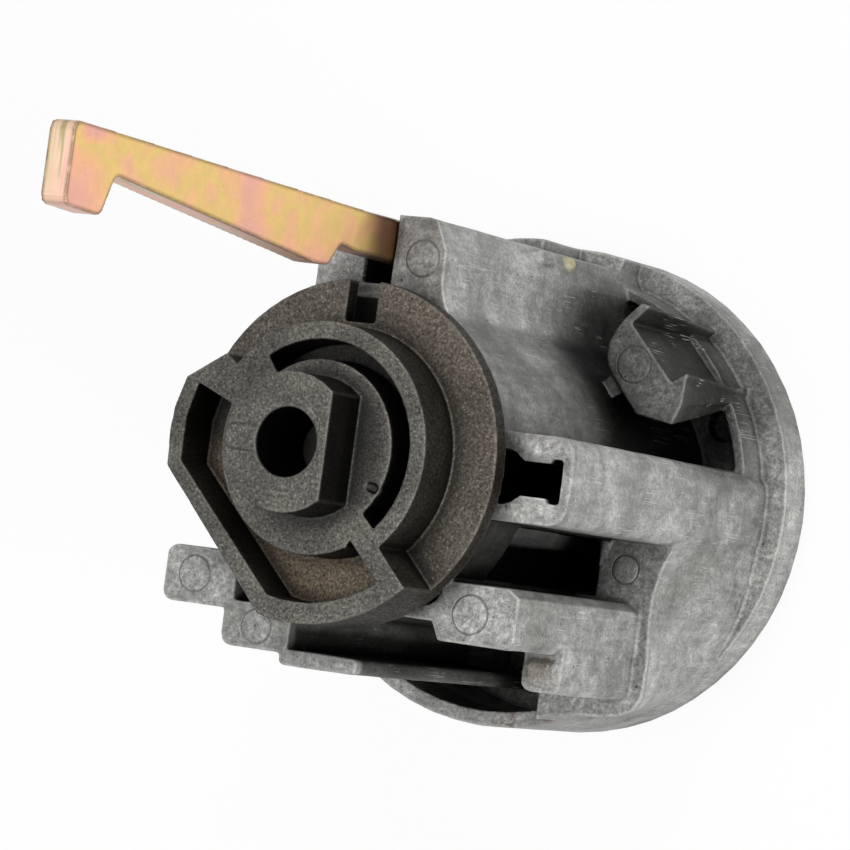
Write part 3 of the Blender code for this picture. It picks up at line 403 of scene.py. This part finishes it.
def zinc_hollows(tree, x, y, z, out, upright, skin):
    """Painted shade in deep hollows, weaker on the cup's open floor, and on the sides of the fins in the cup.
    """
    cup = all_of(tree, below(tree, y, *CUP_Y), below(tree, x, *CUP_X))
    cup_floor = all_of(tree, cup, below(tree, z, *CUP_FLOOR))
    fin_side = all_of(tree, cup, upright, within(tree, z, *FINS_Z, soft_mm=1.0), below(tree, out, *FINS_R))
    share = add(tree, "soft step", cup_floor, 0.0, 1.0, 0.8, 0.15)
    # painted shade in hollows up to about 8 mm wide
    deep_shade = all_of(tree, corner_shade(tree, 8.0, 0.15, 0.8), share)
    skin = add(tree, "tint", deep_shade, skin, "#464542")
    # painted shade on the sides of the fins in the cup
    return darken(tree, skin, fin_side, 0.75, "#4c4b48"), fin_side


def zinc_shade_patches(tree, coords, y, z, out, upright, flat_end, skin):
    """Painted shade on the barrel, at half strength where y and z are high, round the post and on the block's
    end.
    """
    # painted shade on the barrel's upright faces
    film_and_shade = all_of(tree, upright, below(tree, out, *BARREL_R))
    half_shade_part = all_of(tree, above(tree, y, *HALF_SHADE_Y), above(tree, z, *HALF_SHADE_Z))
    film_and_shade = all_of(tree, film_and_shade, add(tree, "soft step", half_shade_part, 0.0, 1.0, 1.0, 0.5))
    skin = darken(tree, skin, film_and_shade, 0.96, "#434240")
    # painted shade round the post, stronger on upright faces
    share = add(tree, "soft step", upright, 0.0, 1.0, 0.65, 0.95)
    pocket_shade = all_of(tree, near(tree, coords, POCKET, 6.0, 17.0), share)
    skin = add(tree, "tint", pocket_shade, skin, "#424140")
    # painted shade on the block's flat end
    block_end_shade = all_of(tree, flat_end, near(tree, coords, BLOCK_END, 4.0, 9.0))
    return darken(tree, skin, block_end_shade, 0.35, "#6c6a64"), film_and_shade, pocket_shade


print("wear ready, the barrel's film ends", BARREL_R[1], "mm from the axis")

# %% Spots and scratches on the casting
def zinc_spots(tree, coords, cloudy, skin):
    """Rings of the ejector pins, brown grime where the metal ran in, rust on the cup, one yellow lump."""
    ring = all_of(tree, ring_marks(tree, coords), add(tree, "soft step", cloudy, 0.35, 0.5, 0.45, 1.0))
    skin = cover(tree, skin, ring, 0.6, "#464644")
    grime = all_of(tree, near(tree, coords, GATE_END, 1.2, 2.4), add(tree, "soft step", cloudy, 0.42, 0.56))
    skin = cover(tree, skin, grime, 0.6, "#5f5342")
    rust = largest(tree, *(near(tree, coords, spot, 0.3, 1.6) for spot in RUST_SPOTS))
    patchy = add(tree, "soft step", add(tree, "noise", coords, grain(0.7), 4.0, 0.7), 0.48, 0.56)
    skin = cover(tree, skin, all_of(tree, rust, patchy), 0.8, "#5a3f30")
    return cover(tree, skin, near(tree, coords, YELLOW_LUMP, 0.5, 1.1), 0.6, "#c2b88a"), ring


def zinc_scratches(tree, coords, film_and_shade, skin):
    """Fine scratches along Z, in patches, and few of them under the painted shade on the barrel."""
    lines = add(tree, "noise", add(tree, "stretch", coords, (1.0, 1.3, 0.02)), grain(0.12), 2.0, 0.5)
    patches = add(tree, "soft step", add(tree, "noise", coords, grain(3.5), 2.0, 0.55), 0.53, 0.61)
    scratch = all_of(tree, add(tree, "soft step", lines, 0.6, 0.66), patches,
                     add(tree, "soft step", film_and_shade, 0.0, 1.0, 1.0, 0.15))
    return cover(tree, skin, scratch, 0.5, "#d4d4d0"), scratch


print("spots ready")

# %% The zinc material
ZINC_METAL = 0.4


def die_cast_zinc():
    """All the steps in the order in which they came about. The places with painted shade also lose their
    gloss.
    """
    mat, tree, shader, coords = start_material("die_cast_zinc")
    up = add(tree, "axes", add(tree, "normal")).node.outputs[2]
    x, y, z = add(tree, "axes", coords).node.outputs
    out = from_axis(tree, x, y)
    flat_end = add(tree, "soft step", up, 0.85, 0.97)
    upright = add(tree, "soft step", up, 0.3, 0.6, 1.0, 0.0)
    made = zinc_patterns(tree, coords)
    skin = zinc_tone(tree, coords, made, flat_end)
    skin, dot = zinc_flaws(tree, coords, made, skin)
    skin = zinc_edges(tree, made, skin)
    skin, fin_side = zinc_hollows(tree, x, y, z, out, upright, skin)
    skin, film_and_shade, pocket_shade = zinc_shade_patches(tree, coords, y, z, out, upright, flat_end, skin)
    skin, ring = zinc_spots(tree, coords, made["cloudy"], skin)
    skin, scratch = zinc_scratches(tree, coords, film_and_shade, skin)
    rooms = room_shade(tree, x, y, z, out)
    # painted shade, nearly black, in the bore and behind the slots
    skin = darken(tree, skin, rooms, 0.95, "#141312")
    dull = largest(tree, film_and_shade, pocket_shade, rooms, fin_side)
    tree.links.new(skin, shader.inputs["Base Color"])
    tree.links.new(add(tree, "soft step", dull, 0.0, 1.0, 0.5, 0.05), shader.inputs["Specular IOR Level"])
    shader.inputs["Metallic"].default_value = ZINC_METAL
    rough = add(tree, "soft step", made["cloudy"], NOISE_LOW, NOISE_HIGH, 0.42, 0.58)
    tree.links.new(rough, shader.inputs["Roughness"])
    bump_chain(tree, shader, (made["broad"], 0.3, 0.4), (made["cloudy"], 0.2, 0.8), (made["fine"], 0.06, 0.8),
               (made["crystal"], 0.05, 0.5), (ring, -0.1, 0.7), (dot, -0.12, 0.7), (scratch, -0.03, 0.5))
    return mat


zinc_skin = die_cast_zinc()
print(zinc_skin.name, len(zinc_skin.node_tree.nodes), "nodes")

# %% [markdown]
# ## Sintered steel
# The rotor is iron powder pressed in a die and baked. It stays slightly porous: dark grey-brown with a
# fine sparkle of bright grains and rubbed grey along its edges. Painted shade, dark brown, fills its
# hollows and darkens its upright sides, its hole and the foot of its boss.

# %% The powder's colour, and places on the rotor in millimetres
HOLE_R, BOSS_R, INNER_R = (2.95, 3.1), (6.1, 7.8), (9.0, 9.6)
FLANGE_Z, BOSS_FOOT_Z = (48.3, 50.6), (52.0, 54.5)
PAN_Y, PAN_SLANT = (-3.0, 1.0), (-5.0, -1.0)
TAB_X, TAB_R, TAB_Z, TAB_END, LINE = (-5.0, -3.0), 1.1, (57.0, 57.3), (-3.0, -2.9), (0.04, 0.17)


def powder_tone(tree, made, x, y, z, pressed):
    """Dark greys over broad clouds, a warmer flange, an oily brown pan, and sparkling grains."""
    body = add(tree, "ramp", made["broad"], stops=((0.36, "#45433e"), (0.5, "#4b4944"), (0.64, "#52504a")))
    low = below(tree, z, *FLANGE_Z)
    body = cover(tree, body, low, 0.6, "#4a4338")
    slant = below(tree, add(tree, "plus", x, y), *PAN_SLANT)
    pan = all_of(tree, low, pressed, below(tree, y, *PAN_Y), slant)
    body = cover(tree, body, pan, 0.7, "#9a886e")
    shade = all_of(tree, vary(tree, made["broad"], 0.15), vary(tree, made["powder"], 0.65),
                   vary(tree, made["dust"], 0.3))
    body = add(tree, "tint", 1.0, body, shade)
    return add(tree, "cover", add(tree, "soft step", made["dust"], 0.64, 0.7, 0.0, 0.5), body, "#a6a399")


def rotor_shadows(tree, z, out, upright, body):
    """Painted shade: upright sides darker, most of all inside the rings, dark hollows, a dark hole and a
    shadow round the boss's foot.
    """
    # painted shade on the upright sides, stronger inside the rings
    body = darken(tree, body, upright, 0.8, "#57524b")
    inner_shade = all_of(tree, upright, below(tree, out, *INNER_R))
    body = darken(tree, body, inner_shade, 0.85, "#4a4640")
    # painted shade in hollows up to 5 mm wide and in corners up to 1.6 mm
    body = darken(tree, body, corner_shade(tree, 5.0, 0.15, 0.85), 0.8, "#2e2823")
    body = darken(tree, body, corner_shade(tree, 1.6, 0.5, 0.95), 0.8, "#231f1c")
    # painted shade inside the hole
    body = add(tree, "tint", below(tree, out, *HOLE_R, most=0.92), body, "#1d1a18")
    # painted shadow round the foot of the boss
    boss_foot_shadow = all_of(tree, within(tree, z, *BOSS_FOOT_Z), below(tree, out, *BOSS_R, most=0.55))
    return add(tree, "tint", boss_foot_shadow, body, "#332e29")


def tab_shade_line(tree, x, y, z):
    """1 on a thin line at one distance from the tab's middle line, on the boss's end beside the hole: a
    painted shade line round the raised tab.
    """
    nearest = add(tree, "smaller", add(tree, "larger", x, TAB_X[0] * MM), TAB_X[1] * MM)
    off = from_axis(tree, add(tree, "less", x, nearest), y)
    line = below(tree, add(tree, "size", add(tree, "less", off, TAB_R * MM)), *LINE)
    return all_of(tree, line, above(tree, z, *TAB_Z), below(tree, x, *TAB_END))


print("the tab is", 2 * TAB_R, "mm wide")

# %% Sintered steel material
SINTER_METAL = 0.45


def sintered_steel():
    """Powder colour, painted shade, a painted shade line round the tab and the rubbed edges, with less gloss
    on the upright sides.
    """
    mat, tree, shader, coords = start_material("sintered_steel")
    up = add(tree, "axes", add(tree, "normal")).node.outputs[2]
    x, y, z = add(tree, "axes", coords).node.outputs
    out = from_axis(tree, x, y)
    made = {
        "broad": add(tree, "noise", coords, grain(4.5), 4.0, 0.6),
        "powder": add(tree, "noise", coords, grain(0.28), 3.0, 0.75),
        "dust": add(tree, "noise", coords, grain(0.2), 2.0, 0.6),
    }
    pressed = add(tree, "soft step", add(tree, "size", up), 0.3, 0.8)
    upright = add(tree, "soft step", pressed, 0.0, 1.0, 1.0, 0.0)
    body = powder_tone(tree, made, x, y, z, pressed)
    body = rotor_shadows(tree, z, out, upright, body)
    # painted shade line round the raised tab
    body = cover(tree, body, tab_shade_line(tree, x, y, z), 0.65, "#1f1d1a")
    rubbed = all_of(tree, edge_wear_and_shade(tree, 0.3), add(tree, "soft step", made["broad"], 0.38, 0.55, 0.3, 1.0))
    body = cover(tree, body, rubbed, 0.4, "#8b8880")
    tree.links.new(body, shader.inputs["Base Color"])
    shader.inputs["Metallic"].default_value = SINTER_METAL
    tree.links.new(add(tree, "soft step", upright, 0.0, 1.0, 0.5, 0.1), shader.inputs["Specular IOR Level"])
    rough = add(tree, "soft step", made["powder"], NOISE_LOW, NOISE_HIGH, 0.65, 0.45)
    tree.links.new(rough, shader.inputs["Roughness"])
    bump_chain(tree, shader, (made["broad"], 0.15, 0.3), (made["powder"], 0.06, 0.8),
               (made["dust"], 0.03, 0.7))
    return mat


sinter_skin = sintered_steel()
print(sinter_skin.name, len(sinter_skin.node_tree.nodes), "nodes")

# %% [markdown]
# ## Yellow chromate on the lever
# The lever is cut from steel sheet, zinc plated and dipped in yellow chromate. The thin film shows
# patches of yellow, peach and pink on the flat sides. The sheared edges are duller and olive, with the
# fine lines of the cutting tool and a painted shade line where they roll over. Painted shade darkens the
# lever where it goes into the housing.

# %% The film's colours
def chromate_film(tree, coords, patches, wisps, lines):
    """Yellow, peach and pink over 9 mm patches, with fine wisps, rolling lines and small olive pits."""
    film_and_shade = add(tree, "ramp", patches, stops=(
        (0.36, "#e4a996"), (0.43, "#eab08b"), (0.48, "#e8b680"), (0.53, "#e0c071"), (0.57, "#e8b482"),
        (0.63, "#e2a497")))
    film_and_shade = add(tree, "tint", 1.0, film_and_shade, all_of(tree, vary(tree, wisps, 0.06), vary(tree, lines, 0.02)))
    pits = add(tree, "soft step", add(tree, "noise", coords, grain(0.25), 3.0, 0.7), 0.66, 0.7)
    return cover(tree, film_and_shade, pits, 0.6, "#8a7a3e")


def sheared_edge(tree, shear, across, wisps, film_and_shade):
    """Edges that face across the plate show the shear's streaks, and a painted shade line where they roll
    over.
    """
    edge = add(tree, "soft step", add(tree, "size", across), 0.55, 0.9, 1.0, 0.0)
    streaks = add(tree, "ramp", shear, stops=(
        (0.34, "#a89a76"), (0.42, "#d6c3a2"), (0.5, "#e4c0aa"), (0.6, "#e8b4a8")))
    film_and_shade = cover(tree, film_and_shade, edge, 0.9, streaks)
    # painted shade: a dark line on the rolled edges
    rolled_edge_shade = all_of(tree, edge_wear_and_shade(tree, 0.4), add(tree, "soft step", wisps, 0.35, 0.5, 0.5, 1.0))
    return add(tree, "cover", rolled_edge_shade, film_and_shade, "#64563a")


print("film colours ready")

# %% Yellow chromate material
CHROMATE_METAL = 0.55
# painted shade on the lever: full below the first level, none above the second
SLOT_Z = (46.5, 51.5)


def yellow_chromate():
    """The chromate colours, the sheared edges, and painted shade where the lever enters its slot."""
    mat, tree, shader, coords = start_material("yellow_chromate_on_steel")
    across = add(tree, "axes", add(tree, "normal"))
    height = add(tree, "axes", coords).node.outputs[2]
    patches = add(tree, "noise", coords, grain(9.0), 4.0, 0.42)
    wisps = add(tree, "noise", coords, grain(1.4), 6.0, 0.72)
    lines = add(tree, "noise", add(tree, "stretch", coords, (1.0, 0.25, 1.0)), grain(0.12), 2.0, 0.6)
    shear = add(tree, "noise", add(tree, "stretch", coords, (1.0, 0.04, 0.04)), grain(0.55), 2.0, 0.5)
    film_and_shade = chromate_film(tree, coords, patches, wisps, lines)
    film_and_shade = sheared_edge(tree, shear, across, wisps, film_and_shade)
    # painted shade where the lever enters its slot
    film_and_shade = darken(tree, film_and_shade, below(tree, height, *SLOT_Z), 0.9, "#5a4c34")
    tree.links.new(film_and_shade, shader.inputs["Base Color"])
    shader.inputs["Metallic"].default_value = CHROMATE_METAL
    tree.links.new(add(tree, "soft step", wisps, 0.3, 0.7, 0.3, 0.46), shader.inputs["Roughness"])
    bump_chain(tree, shader, (patches, 0.1, 0.2), (lines, 0.015, 0.5), (shear, 0.02, 0.3))
    return mat


chromate_skin = yellow_chromate()
print(chromate_skin.name, len(chromate_skin.node_tree.nodes), "nodes")

# %% [markdown]
# ## The finishes that sit deeper in the lock
# Plug, cap, wafers and springs are seen only through gaps and from below. They still get their real
# finishes: satin zinc plating, pressed and tumbled steel, drawn spring wire, oiled steel and stamped
# brass. They share one recipe with different grains, because all are metal with small scratches, and
# get painted shade in their corners.

# %% A recipe for the small metal pieces
CLOUD = 2.2
HOLLOW = 1.5
ROUGH_SWING = 0.08


def small_metal(name, dark, mid, pale, metallic, rough, grain_mm, stretch):
    """A mottled metal: three tones over 2 mm clouds, drawn grain of grain_mm, painted shade in the corners.
    """
    mat, tree, shader, coords = start_material(name)
    cloud = add(tree, "noise", coords, grain(CLOUD), 4.0, 0.6)
    lines = add(tree, "noise", add(tree, "stretch", coords, stretch), grain(grain_mm), 3.0, 0.6)
    tone = add(tree, "ramp", cloud, stops=((0.3, dark), (0.5, mid), (0.72, pale)))
    greys = add(tree, "ramp", lines, stops=((0.3, "#5e5e5e"), (0.5, "#808080"), (0.7, "#a6a6a6")))
    tone = add(tree, "overlay", 0.4, tone, greys)
    # painted shade in corners narrower than about 1.5 mm
    hollow_shade = add(tree, "soft step", add(tree, "rays outside", HOLLOW * MM), 0.1, 0.8, 0.7, 0.0)
    tone = add(tree, "tint", hollow_shade, tone, "#4a443a")
    tree.links.new(tone, shader.inputs["Base Color"])
    shader.inputs["Metallic"].default_value = metallic
    uneven = add(tree, "soft step", lines, 0.3, 0.7, rough - ROUGH_SWING, rough + ROUGH_SWING)
    tree.links.new(uneven, shader.inputs["Roughness"])
    bump_chain(tree, shader, (cloud, 0.04, 0.3), (lines, 0.012, 0.5))
    return mat


print("small metals have clouds of", CLOUD, "mm")

# %% The five small metals
# satin plating over cast zinc, drawn out along Z
plated_zinc = small_metal("plated_zinc", "#8f918f", "#a7a8a5", "#bcbdb9", metallic=0.75, rough=0.4,
                          grain_mm=0.2, stretch=(1.0, 1.0, 0.3))
# sheet steel, pressed and tumbled bright
pressed_steel = small_metal("pressed_steel", "#8c8e90", "#a6a8a9", "#c2c3c3", metallic=0.9, rough=0.32,
                            grain_mm=0.15, stretch=(1.0, 0.3, 1.0))
# cold drawn wire, grey with fine lines
spring_wire = small_metal("drawn_spring_wire", "#6f7173", "#888a8c", "#a3a5a6", metallic=0.9, rough=0.34,
                          grain_mm=0.12, stretch=(1.0, 1.0, 0.4))
# a steel pin under old oil, nearly black
dull_pin = small_metal("oiled_steel_pin", "#2c2b29", "#3a3936", "#4a4843", metallic=0.6, rough=0.5,
                       grain_mm=0.2, stretch=(1.0, 1.0, 1.0))
# brass strip with its rolling grain
stamped_brass = small_metal("stamped_brass", "#a2834a", "#bb9a58", "#d0b272", metallic=0.9, rough=0.34,
                            grain_mm=0.15, stretch=(1.0, 0.25, 1.0))
print("five small metals")

# %% [markdown]
# ## Cast and sintered skins
# A casting has no knife-sharp edge and no perfectly flat side. A copy of the solid is merged, rebuilt on
# a fine grid of cubes, smoothed a little, and moved along its normals by a sum of slow waves. Then it is
# thinned where it is flat. The raised discs of the ejector pins are true relief, made in the same move.
# Grids of two parameters would suit one wall at a time, but not forty walls that grow into each other.

# %% A merged copy, and its modifiers made real
MERGE_DISTANCE = 1e-6


def merged_copy(node, name):
    """A copy of a CAD node with its loose triangles joined, as an object at the origin."""
    mesh = frame["nodes"][node].data.copy()
    work = bmesh.new()
    work.from_mesh(mesh)
    bmesh.ops.remove_doubles(work, verts=work.verts, dist=MERGE_DISTANCE)
    work.to_mesh(mesh)
    work.free()
    piece = bpy.data.objects.new(name, mesh)
    piece.data.name = name
    bpy.context.scene.collection.objects.link(piece)
    return piece


def bake_modifiers(piece):
    """Replace a piece's mesh by what its modifiers make of it."""
    bpy.context.view_layer.update()
    made = bpy.data.meshes.new_from_object(piece.evaluated_get(bpy.context.evaluated_depsgraph_get()))
    piece.modifiers.clear()
    piece.data = made
    made.name = piece.name
    return piece


print("triangles are joined within", MERGE_DISTANCE / MM, "mm")

# %% Where the surface swells
WAVES = 8
PHASES = 6.28
DISC_RIM = 0.12
DISC_HEIGHT = 0.09
LOOKS_UP = 0.7
CAST_LUMPS = (
    # start, end, radius, height
    ((4.8, 20.0, 26.4), (4.8, 20.0, 24.6), 0.75, 0.5), (YELLOW_LUMP, YELLOW_LUMP, 0.7, 0.5),
    ((14.4, -16.6, 35.1), (15.8, -16.6, 35.1), 1.1, 0.3),
)
ROTOR_LUMPS = (
    ((-4.2, 0.0, 57.7), (-5.0, 0.0, 57.7), 0.95, 0.12),
    ((5.9, -2.8, 53.0), (6.3, -2.9, 53.0), 0.4, -0.6),
)


def waves(points, size, seed):
    """Slow unevenness: the mean of eight sine waves with random directions and lengths near size."""
    rng = np.random.default_rng(seed)
    direction = rng.normal(size=(WAVES, 3))
    direction /= np.linalg.norm(direction, axis=1, keepdims=True)
    turns = 2 * np.pi / (size * rng.uniform(0.6, 1.8, WAVES))
    return np.sin(points @ (direction * turns[:, None]).T + rng.uniform(0, PHASES, WAVES)).mean(axis=1)


def disc_lift(points, up, spot, radius):
    """One disc: its height inside the radius, falling to 0 over its rim, on faces that look up."""
    away = np.linalg.norm(points - np.array(spot) * MM, axis=1)
    return np.clip((radius * MM - away) / (DISC_RIM * MM), 0.0, 1.0) * (up > LOOKS_UP) * DISC_HEIGHT * MM


def lump_lift(points, start, end, radius, height, seed):
    """One lump: a bell curve of the distance from the line between its two ends, made rough by waves."""
    start, run = np.array(start) * MM, (np.array(end) - np.array(start)) * MM
    along = np.clip((points - start) @ run / max(run @ run, 1e-12), 0.0, 1.0)
    away = np.linalg.norm(points - start - along[:, None] * run, axis=1)
    rough = 1.0 + 0.5 * waves(points, 0.8 * MM, seed)
    return np.exp(-(away / (radius * MM)) ** 6) * height * MM * rough


print(len(CAST_LUMPS), "lumps on the casting,", len(ROTOR_LUMPS), "marks on the rotor")

# %% From a solid to a cast skin
SOFTEN = 0.5


def cast_relief(piece, box, uneven_mm, size_mm, marks, lumps, seed):
    """Move each vertex along its normal by the sum of waves, discs and lumps, never out of the box."""
    mesh = piece.data
    points = np.empty(len(mesh.vertices) * 3)
    normals = np.empty(len(mesh.vertices) * 3)
    mesh.vertices.foreach_get("co", points)
    mesh.vertex_normals.foreach_get("vector", normals)
    points, normals = points.reshape(-1, 3), normals.reshape(-1, 3)
    lift = waves(points, size_mm * MM, seed) * uneven_mm * MM
    for spot, radius in marks:
        lift += disc_lift(points, normals[:, 2], spot, radius)
    for start, end, radius, height in lumps:
        lift += lump_lift(points, start, end, radius, height, seed + 1)
    moved = np.clip(points + normals * lift[:, None], box[0], box[1])
    mesh.vertices.foreach_set("co", moved.ravel())
    mesh.update()


def cast_skin(node, name, mat, cube_mm, smooth, keep_tris, uneven_mm, size_mm, marks, lumps, seed):
    """Rebuild a node on cubes of cube_mm, smooth it, give it relief, thin it to keep_tris and dress it."""
    piece = merged_copy(node, name)
    corners = np.array(piece.bound_box)
    rebuild = piece.modifiers.new("rebuild", "REMESH")
    rebuild.mode = "VOXEL"
    rebuild.voxel_size = cube_mm * MM * 1.0
    soften = piece.modifiers.new("soften", "SMOOTH")
    soften.factor = SOFTEN
    soften.iterations = smooth
    bake_modifiers(piece)
    cast_relief(piece, (corners.min(axis=0), corners.max(axis=0)), uneven_mm, size_mm, marks, lumps, seed)
    tris = len(piece.data.polygons) * 2
    if tris > keep_tris:
        thin = piece.modifiers.new("thin", "DECIMATE")
        thin.ratio = keep_tris / tris
        bake_modifiers(piece)
    piece.data.shade_smooth()
    piece.data.materials.clear()
    piece.data.materials.append(mat)
    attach(piece, frame["nodes"][node]["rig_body"])
    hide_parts(node)
    print(name, tris, "triangles rebuilt,", len(piece.data.polygons), "kept")


# %% Zinc casting and sintered rotor
cast_skin("housing", "housing_casting", zinc_skin, cube_mm=0.15, smooth=2, keep_tris=195000,
          uneven_mm=0.05, size_mm=5.0, marks=EJECTOR_MARKS, lumps=CAST_LUMPS, seed=4)
cast_skin("drive_rotor", "rotor_sintering", sinter_skin, cube_mm=0.12, smooth=1,
          keep_tris=150000, uneven_mm=0.03, size_mm=4.0, marks=(), lumps=ROTOR_LUMPS, seed=9)

# %% [markdown]
# ## The lever's plate
# Shearing rounds the edges of sheet metal a little. The same rebuilding, on a finer grid, rolls every
# edge of the flat solid and follows its rounded corners, where a bevel would cross itself.

# %% Lever plate with rolled edges
cast_skin("lever", "lever_plate", chromate_skin, cube_mm=0.1, smooth=2, keep_tris=90000,
          uneven_mm=0.01, size_mm=8.0, marks=(), lumps=(), seed=3)

# %% [markdown]
# ## Compression springs
# Each wafer stands on a small coil of spring wire, and a stronger coil pushes the lever outwards. A round
# wire is a circle carried along a helix, so one function of two parameters gives a far smoother coil than
# the solid's few facets.

# %% A wire along a helix
WIRE_SIDES = 12
STEPS_A_TURN = 40


def wire_grid(low, high, wire, turns):
    """Points by turn and by side. The middle line goes round Y at the box's half width less the wire's
    radius while y rises evenly, and each of its points carries a circle square to the line."""
    turn = np.linspace(0.0, 2 * np.pi * turns, int(turns * STEPS_A_TURN) + 1)
    outward = np.stack([np.sin(turn), np.zeros_like(turn), np.cos(turn)], axis=1)
    line = (low + high) / 2 + outward * ((high[2] - low[2]) / 2 - wire)
    line[:, 1] = np.linspace(low[1] + wire, high[1] - wire, len(turn))
    along = np.gradient(line, axis=0)
    across = np.cross(along / np.linalg.norm(along, axis=1, keepdims=True), outward)
    ring = np.linspace(0.0, 2 * np.pi, WIRE_SIDES, endpoint=False)[None, :, None]
    return line[:, None] + wire * (np.cos(ring) * outward[:, None] + np.sin(ring) * across[:, None])


def wire_faces(rows):
    """Four-sided faces between each row of points and the next, and one face at each end."""
    start = np.arange(rows - 1)[:, None] * WIRE_SIDES
    side = np.arange(WIRE_SIDES)
    step = (side + 1) % WIRE_SIDES
    after = start + WIRE_SIDES
    quads = np.stack([start + side, start + step, after + step, after + side], axis=-1)
    ends = [list(range(WIRE_SIDES)), list(range(rows * WIRE_SIDES - 1, (rows - 1) * WIRE_SIDES - 1, -1))]
    return quads.reshape(-1, 4).tolist() + ends


print("a turn of wire has", STEPS_A_TURN * WIRE_SIDES, "faces")

# %% A coil in the box of a solid
def coil(node, name, wire_mm, turns):
    """Make the coil that fills a spring's box, dress it, and let it ride in that spring's place."""
    points = np.array([corner[:] for corner in frame["nodes"][node].bound_box])
    low, high = points.min(axis=0), points.max(axis=0)
    grid = wire_grid(low, high, wire_mm * MM, turns)
    mesh = bpy.data.meshes.new(name)
    mesh.from_pydata(grid.reshape(-1, 3).tolist(), [], wire_faces(len(grid)))
    work = bmesh.new()
    work.from_mesh(mesh)
    bmesh.ops.recalc_face_normals(work, faces=work.faces)
    work.to_mesh(mesh)
    work.free()
    mesh.shade_smooth()
    mesh.materials.append(spring_wire)
    piece = bpy.data.objects.new(name, mesh)
    bpy.context.scene.collection.objects.link(piece)
    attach(piece, frame["nodes"][node]["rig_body"])
    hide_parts(node)
    return piece, low, high


print("a coil keeps the box of its solid")

# %% Wafer springs
WAFERS = range(1, 7)

for number in WAFERS:
    piece, low, high = coil(f"wafer_spring_{number}", f"wafer_coil_{number}", wire_mm=0.15, turns=3.5)
    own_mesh(piece)

# %% Lever spring
coil("lever_spring", "lever_coil", wire_mm=0.2, turns=4.5)
print("one coil behind the lever")

# %% [markdown]
# ## Finishes for the pieces that keep their own mesh
# These solids already have their true shape, so they only get a material. The material goes into the
# object's slot, and the mesh isn't touched.

# %% Dress the other nodes
DRESS = {
    "key_plug": plated_zinc,
    "plug_cap": pressed_steel,
    "shutter": pressed_steel,
    "shutter_pin": pressed_steel,
    "lever_pin": pressed_steel,
    "tail_pin": dull_pin,
    "retaining_clip": spring_wire,
    "return_spring": spring_wire,
    "shutter_spring": spring_wire,
    "side_bar_spring_1": spring_wire,
    "side_bar_spring_2": spring_wire,
    "side_bar": stamped_brass,
}
DRESS.update({f"wafer_{number}": stamped_brass for number in WAFERS})

for node, mat in DRESS.items():
    for slot in frame["nodes"][node].material_slots:
        slot.link = "OBJECT"
        slot.material = mat
print("dressed", len(DRESS), "nodes")

# %% [markdown]
# ## Floor, background and light
# The floor is a plain pale sheet under the head's rim. To the camera it is nearly white through Light
# Path, and it keeps the soft contact shadow. The world gives an even base, and three large soft lamps
# give the sides of the casting their different greys.

# %% Floor
FLOOR_HALF = 2.0
FLOOR_GLOW = 0.93
WHITE = (1.0, 1.0, 1.0, 1.0)

floor_mesh = bpy.data.meshes.new("floor")
corners = [(x * FLOOR_HALF, y * FLOOR_HALF, 0) for x, y in ((-1, -1), (1, -1), (1, 1), (-1, 1))]
floor_mesh.from_pydata(corners, [], [(0, 1, 2, 3)])
floor = bpy.data.objects.new("floor", floor_mesh)
bpy.context.scene.collection.objects.link(floor)
paper = bpy.data.materials.new("white_paper")
paper.use_nodes = True
tree = paper.node_tree
tree.nodes.clear()
seen = add(tree, "times", add(tree, "light path").node.outputs["Is Camera Ray"], FLOOR_GLOW)
add(tree, "surface", add(tree, "either", seen, add(tree, "matt", "#f2f2f2"), add(tree, "glow", WHITE, 1.0)))
floor_mesh.materials.append(paper)
print("floor", 2 * FLOOR_HALF, "m wide")

# %% World
WORLD_LIGHT = 0.22
WORLD_SEEN = 1.0

world = bpy.data.worlds.new("studio")
bpy.context.scene.world = world
world.use_nodes = True
tree = world.node_tree
tree.nodes.clear()
path = add(tree, "light path").node.outputs
seen = largest(tree, path["Is Camera Ray"], path["Is Glossy Ray"], path["Is Transmission Ray"])
add(tree, "world", add(tree, "sky", WHITE, add(tree, "soft step", seen, 0.0, 1.0, WORLD_LIGHT, WORLD_SEEN)))
print("world lights at", WORLD_LIGHT, "and shows at", WORLD_SEEN)

# %% Lamps
LAMPS_AIM = (0.0, 0.0, 0.03)
LAMPS = {
    # lamp: place, width in metres, power in watts
    "key": ((0.12, 0.38, 0.5), 0.3, 1.5),
    "side": ((0.5, -0.16, 0.32), 0.25, 2.3),
    "drive end": ((-0.1, -0.1, 0.62), 0.3, 1.0),
}

for name, (spot, width, power) in LAMPS.items():
    data = bpy.data.lights.new(name, "AREA")
    data.shape = "SQUARE"
    data.size = width
    data.energy = power
    lamp = bpy.data.objects.new(name, data)
    lamp.location = spot
    lamp.rotation_euler = (Vector(LAMPS_AIM) - Vector(spot)).to_track_quat("-Z", "Y").to_euler()
    bpy.context.scene.collection.objects.link(lamp)
print(len(LAMPS), "soft lamps")
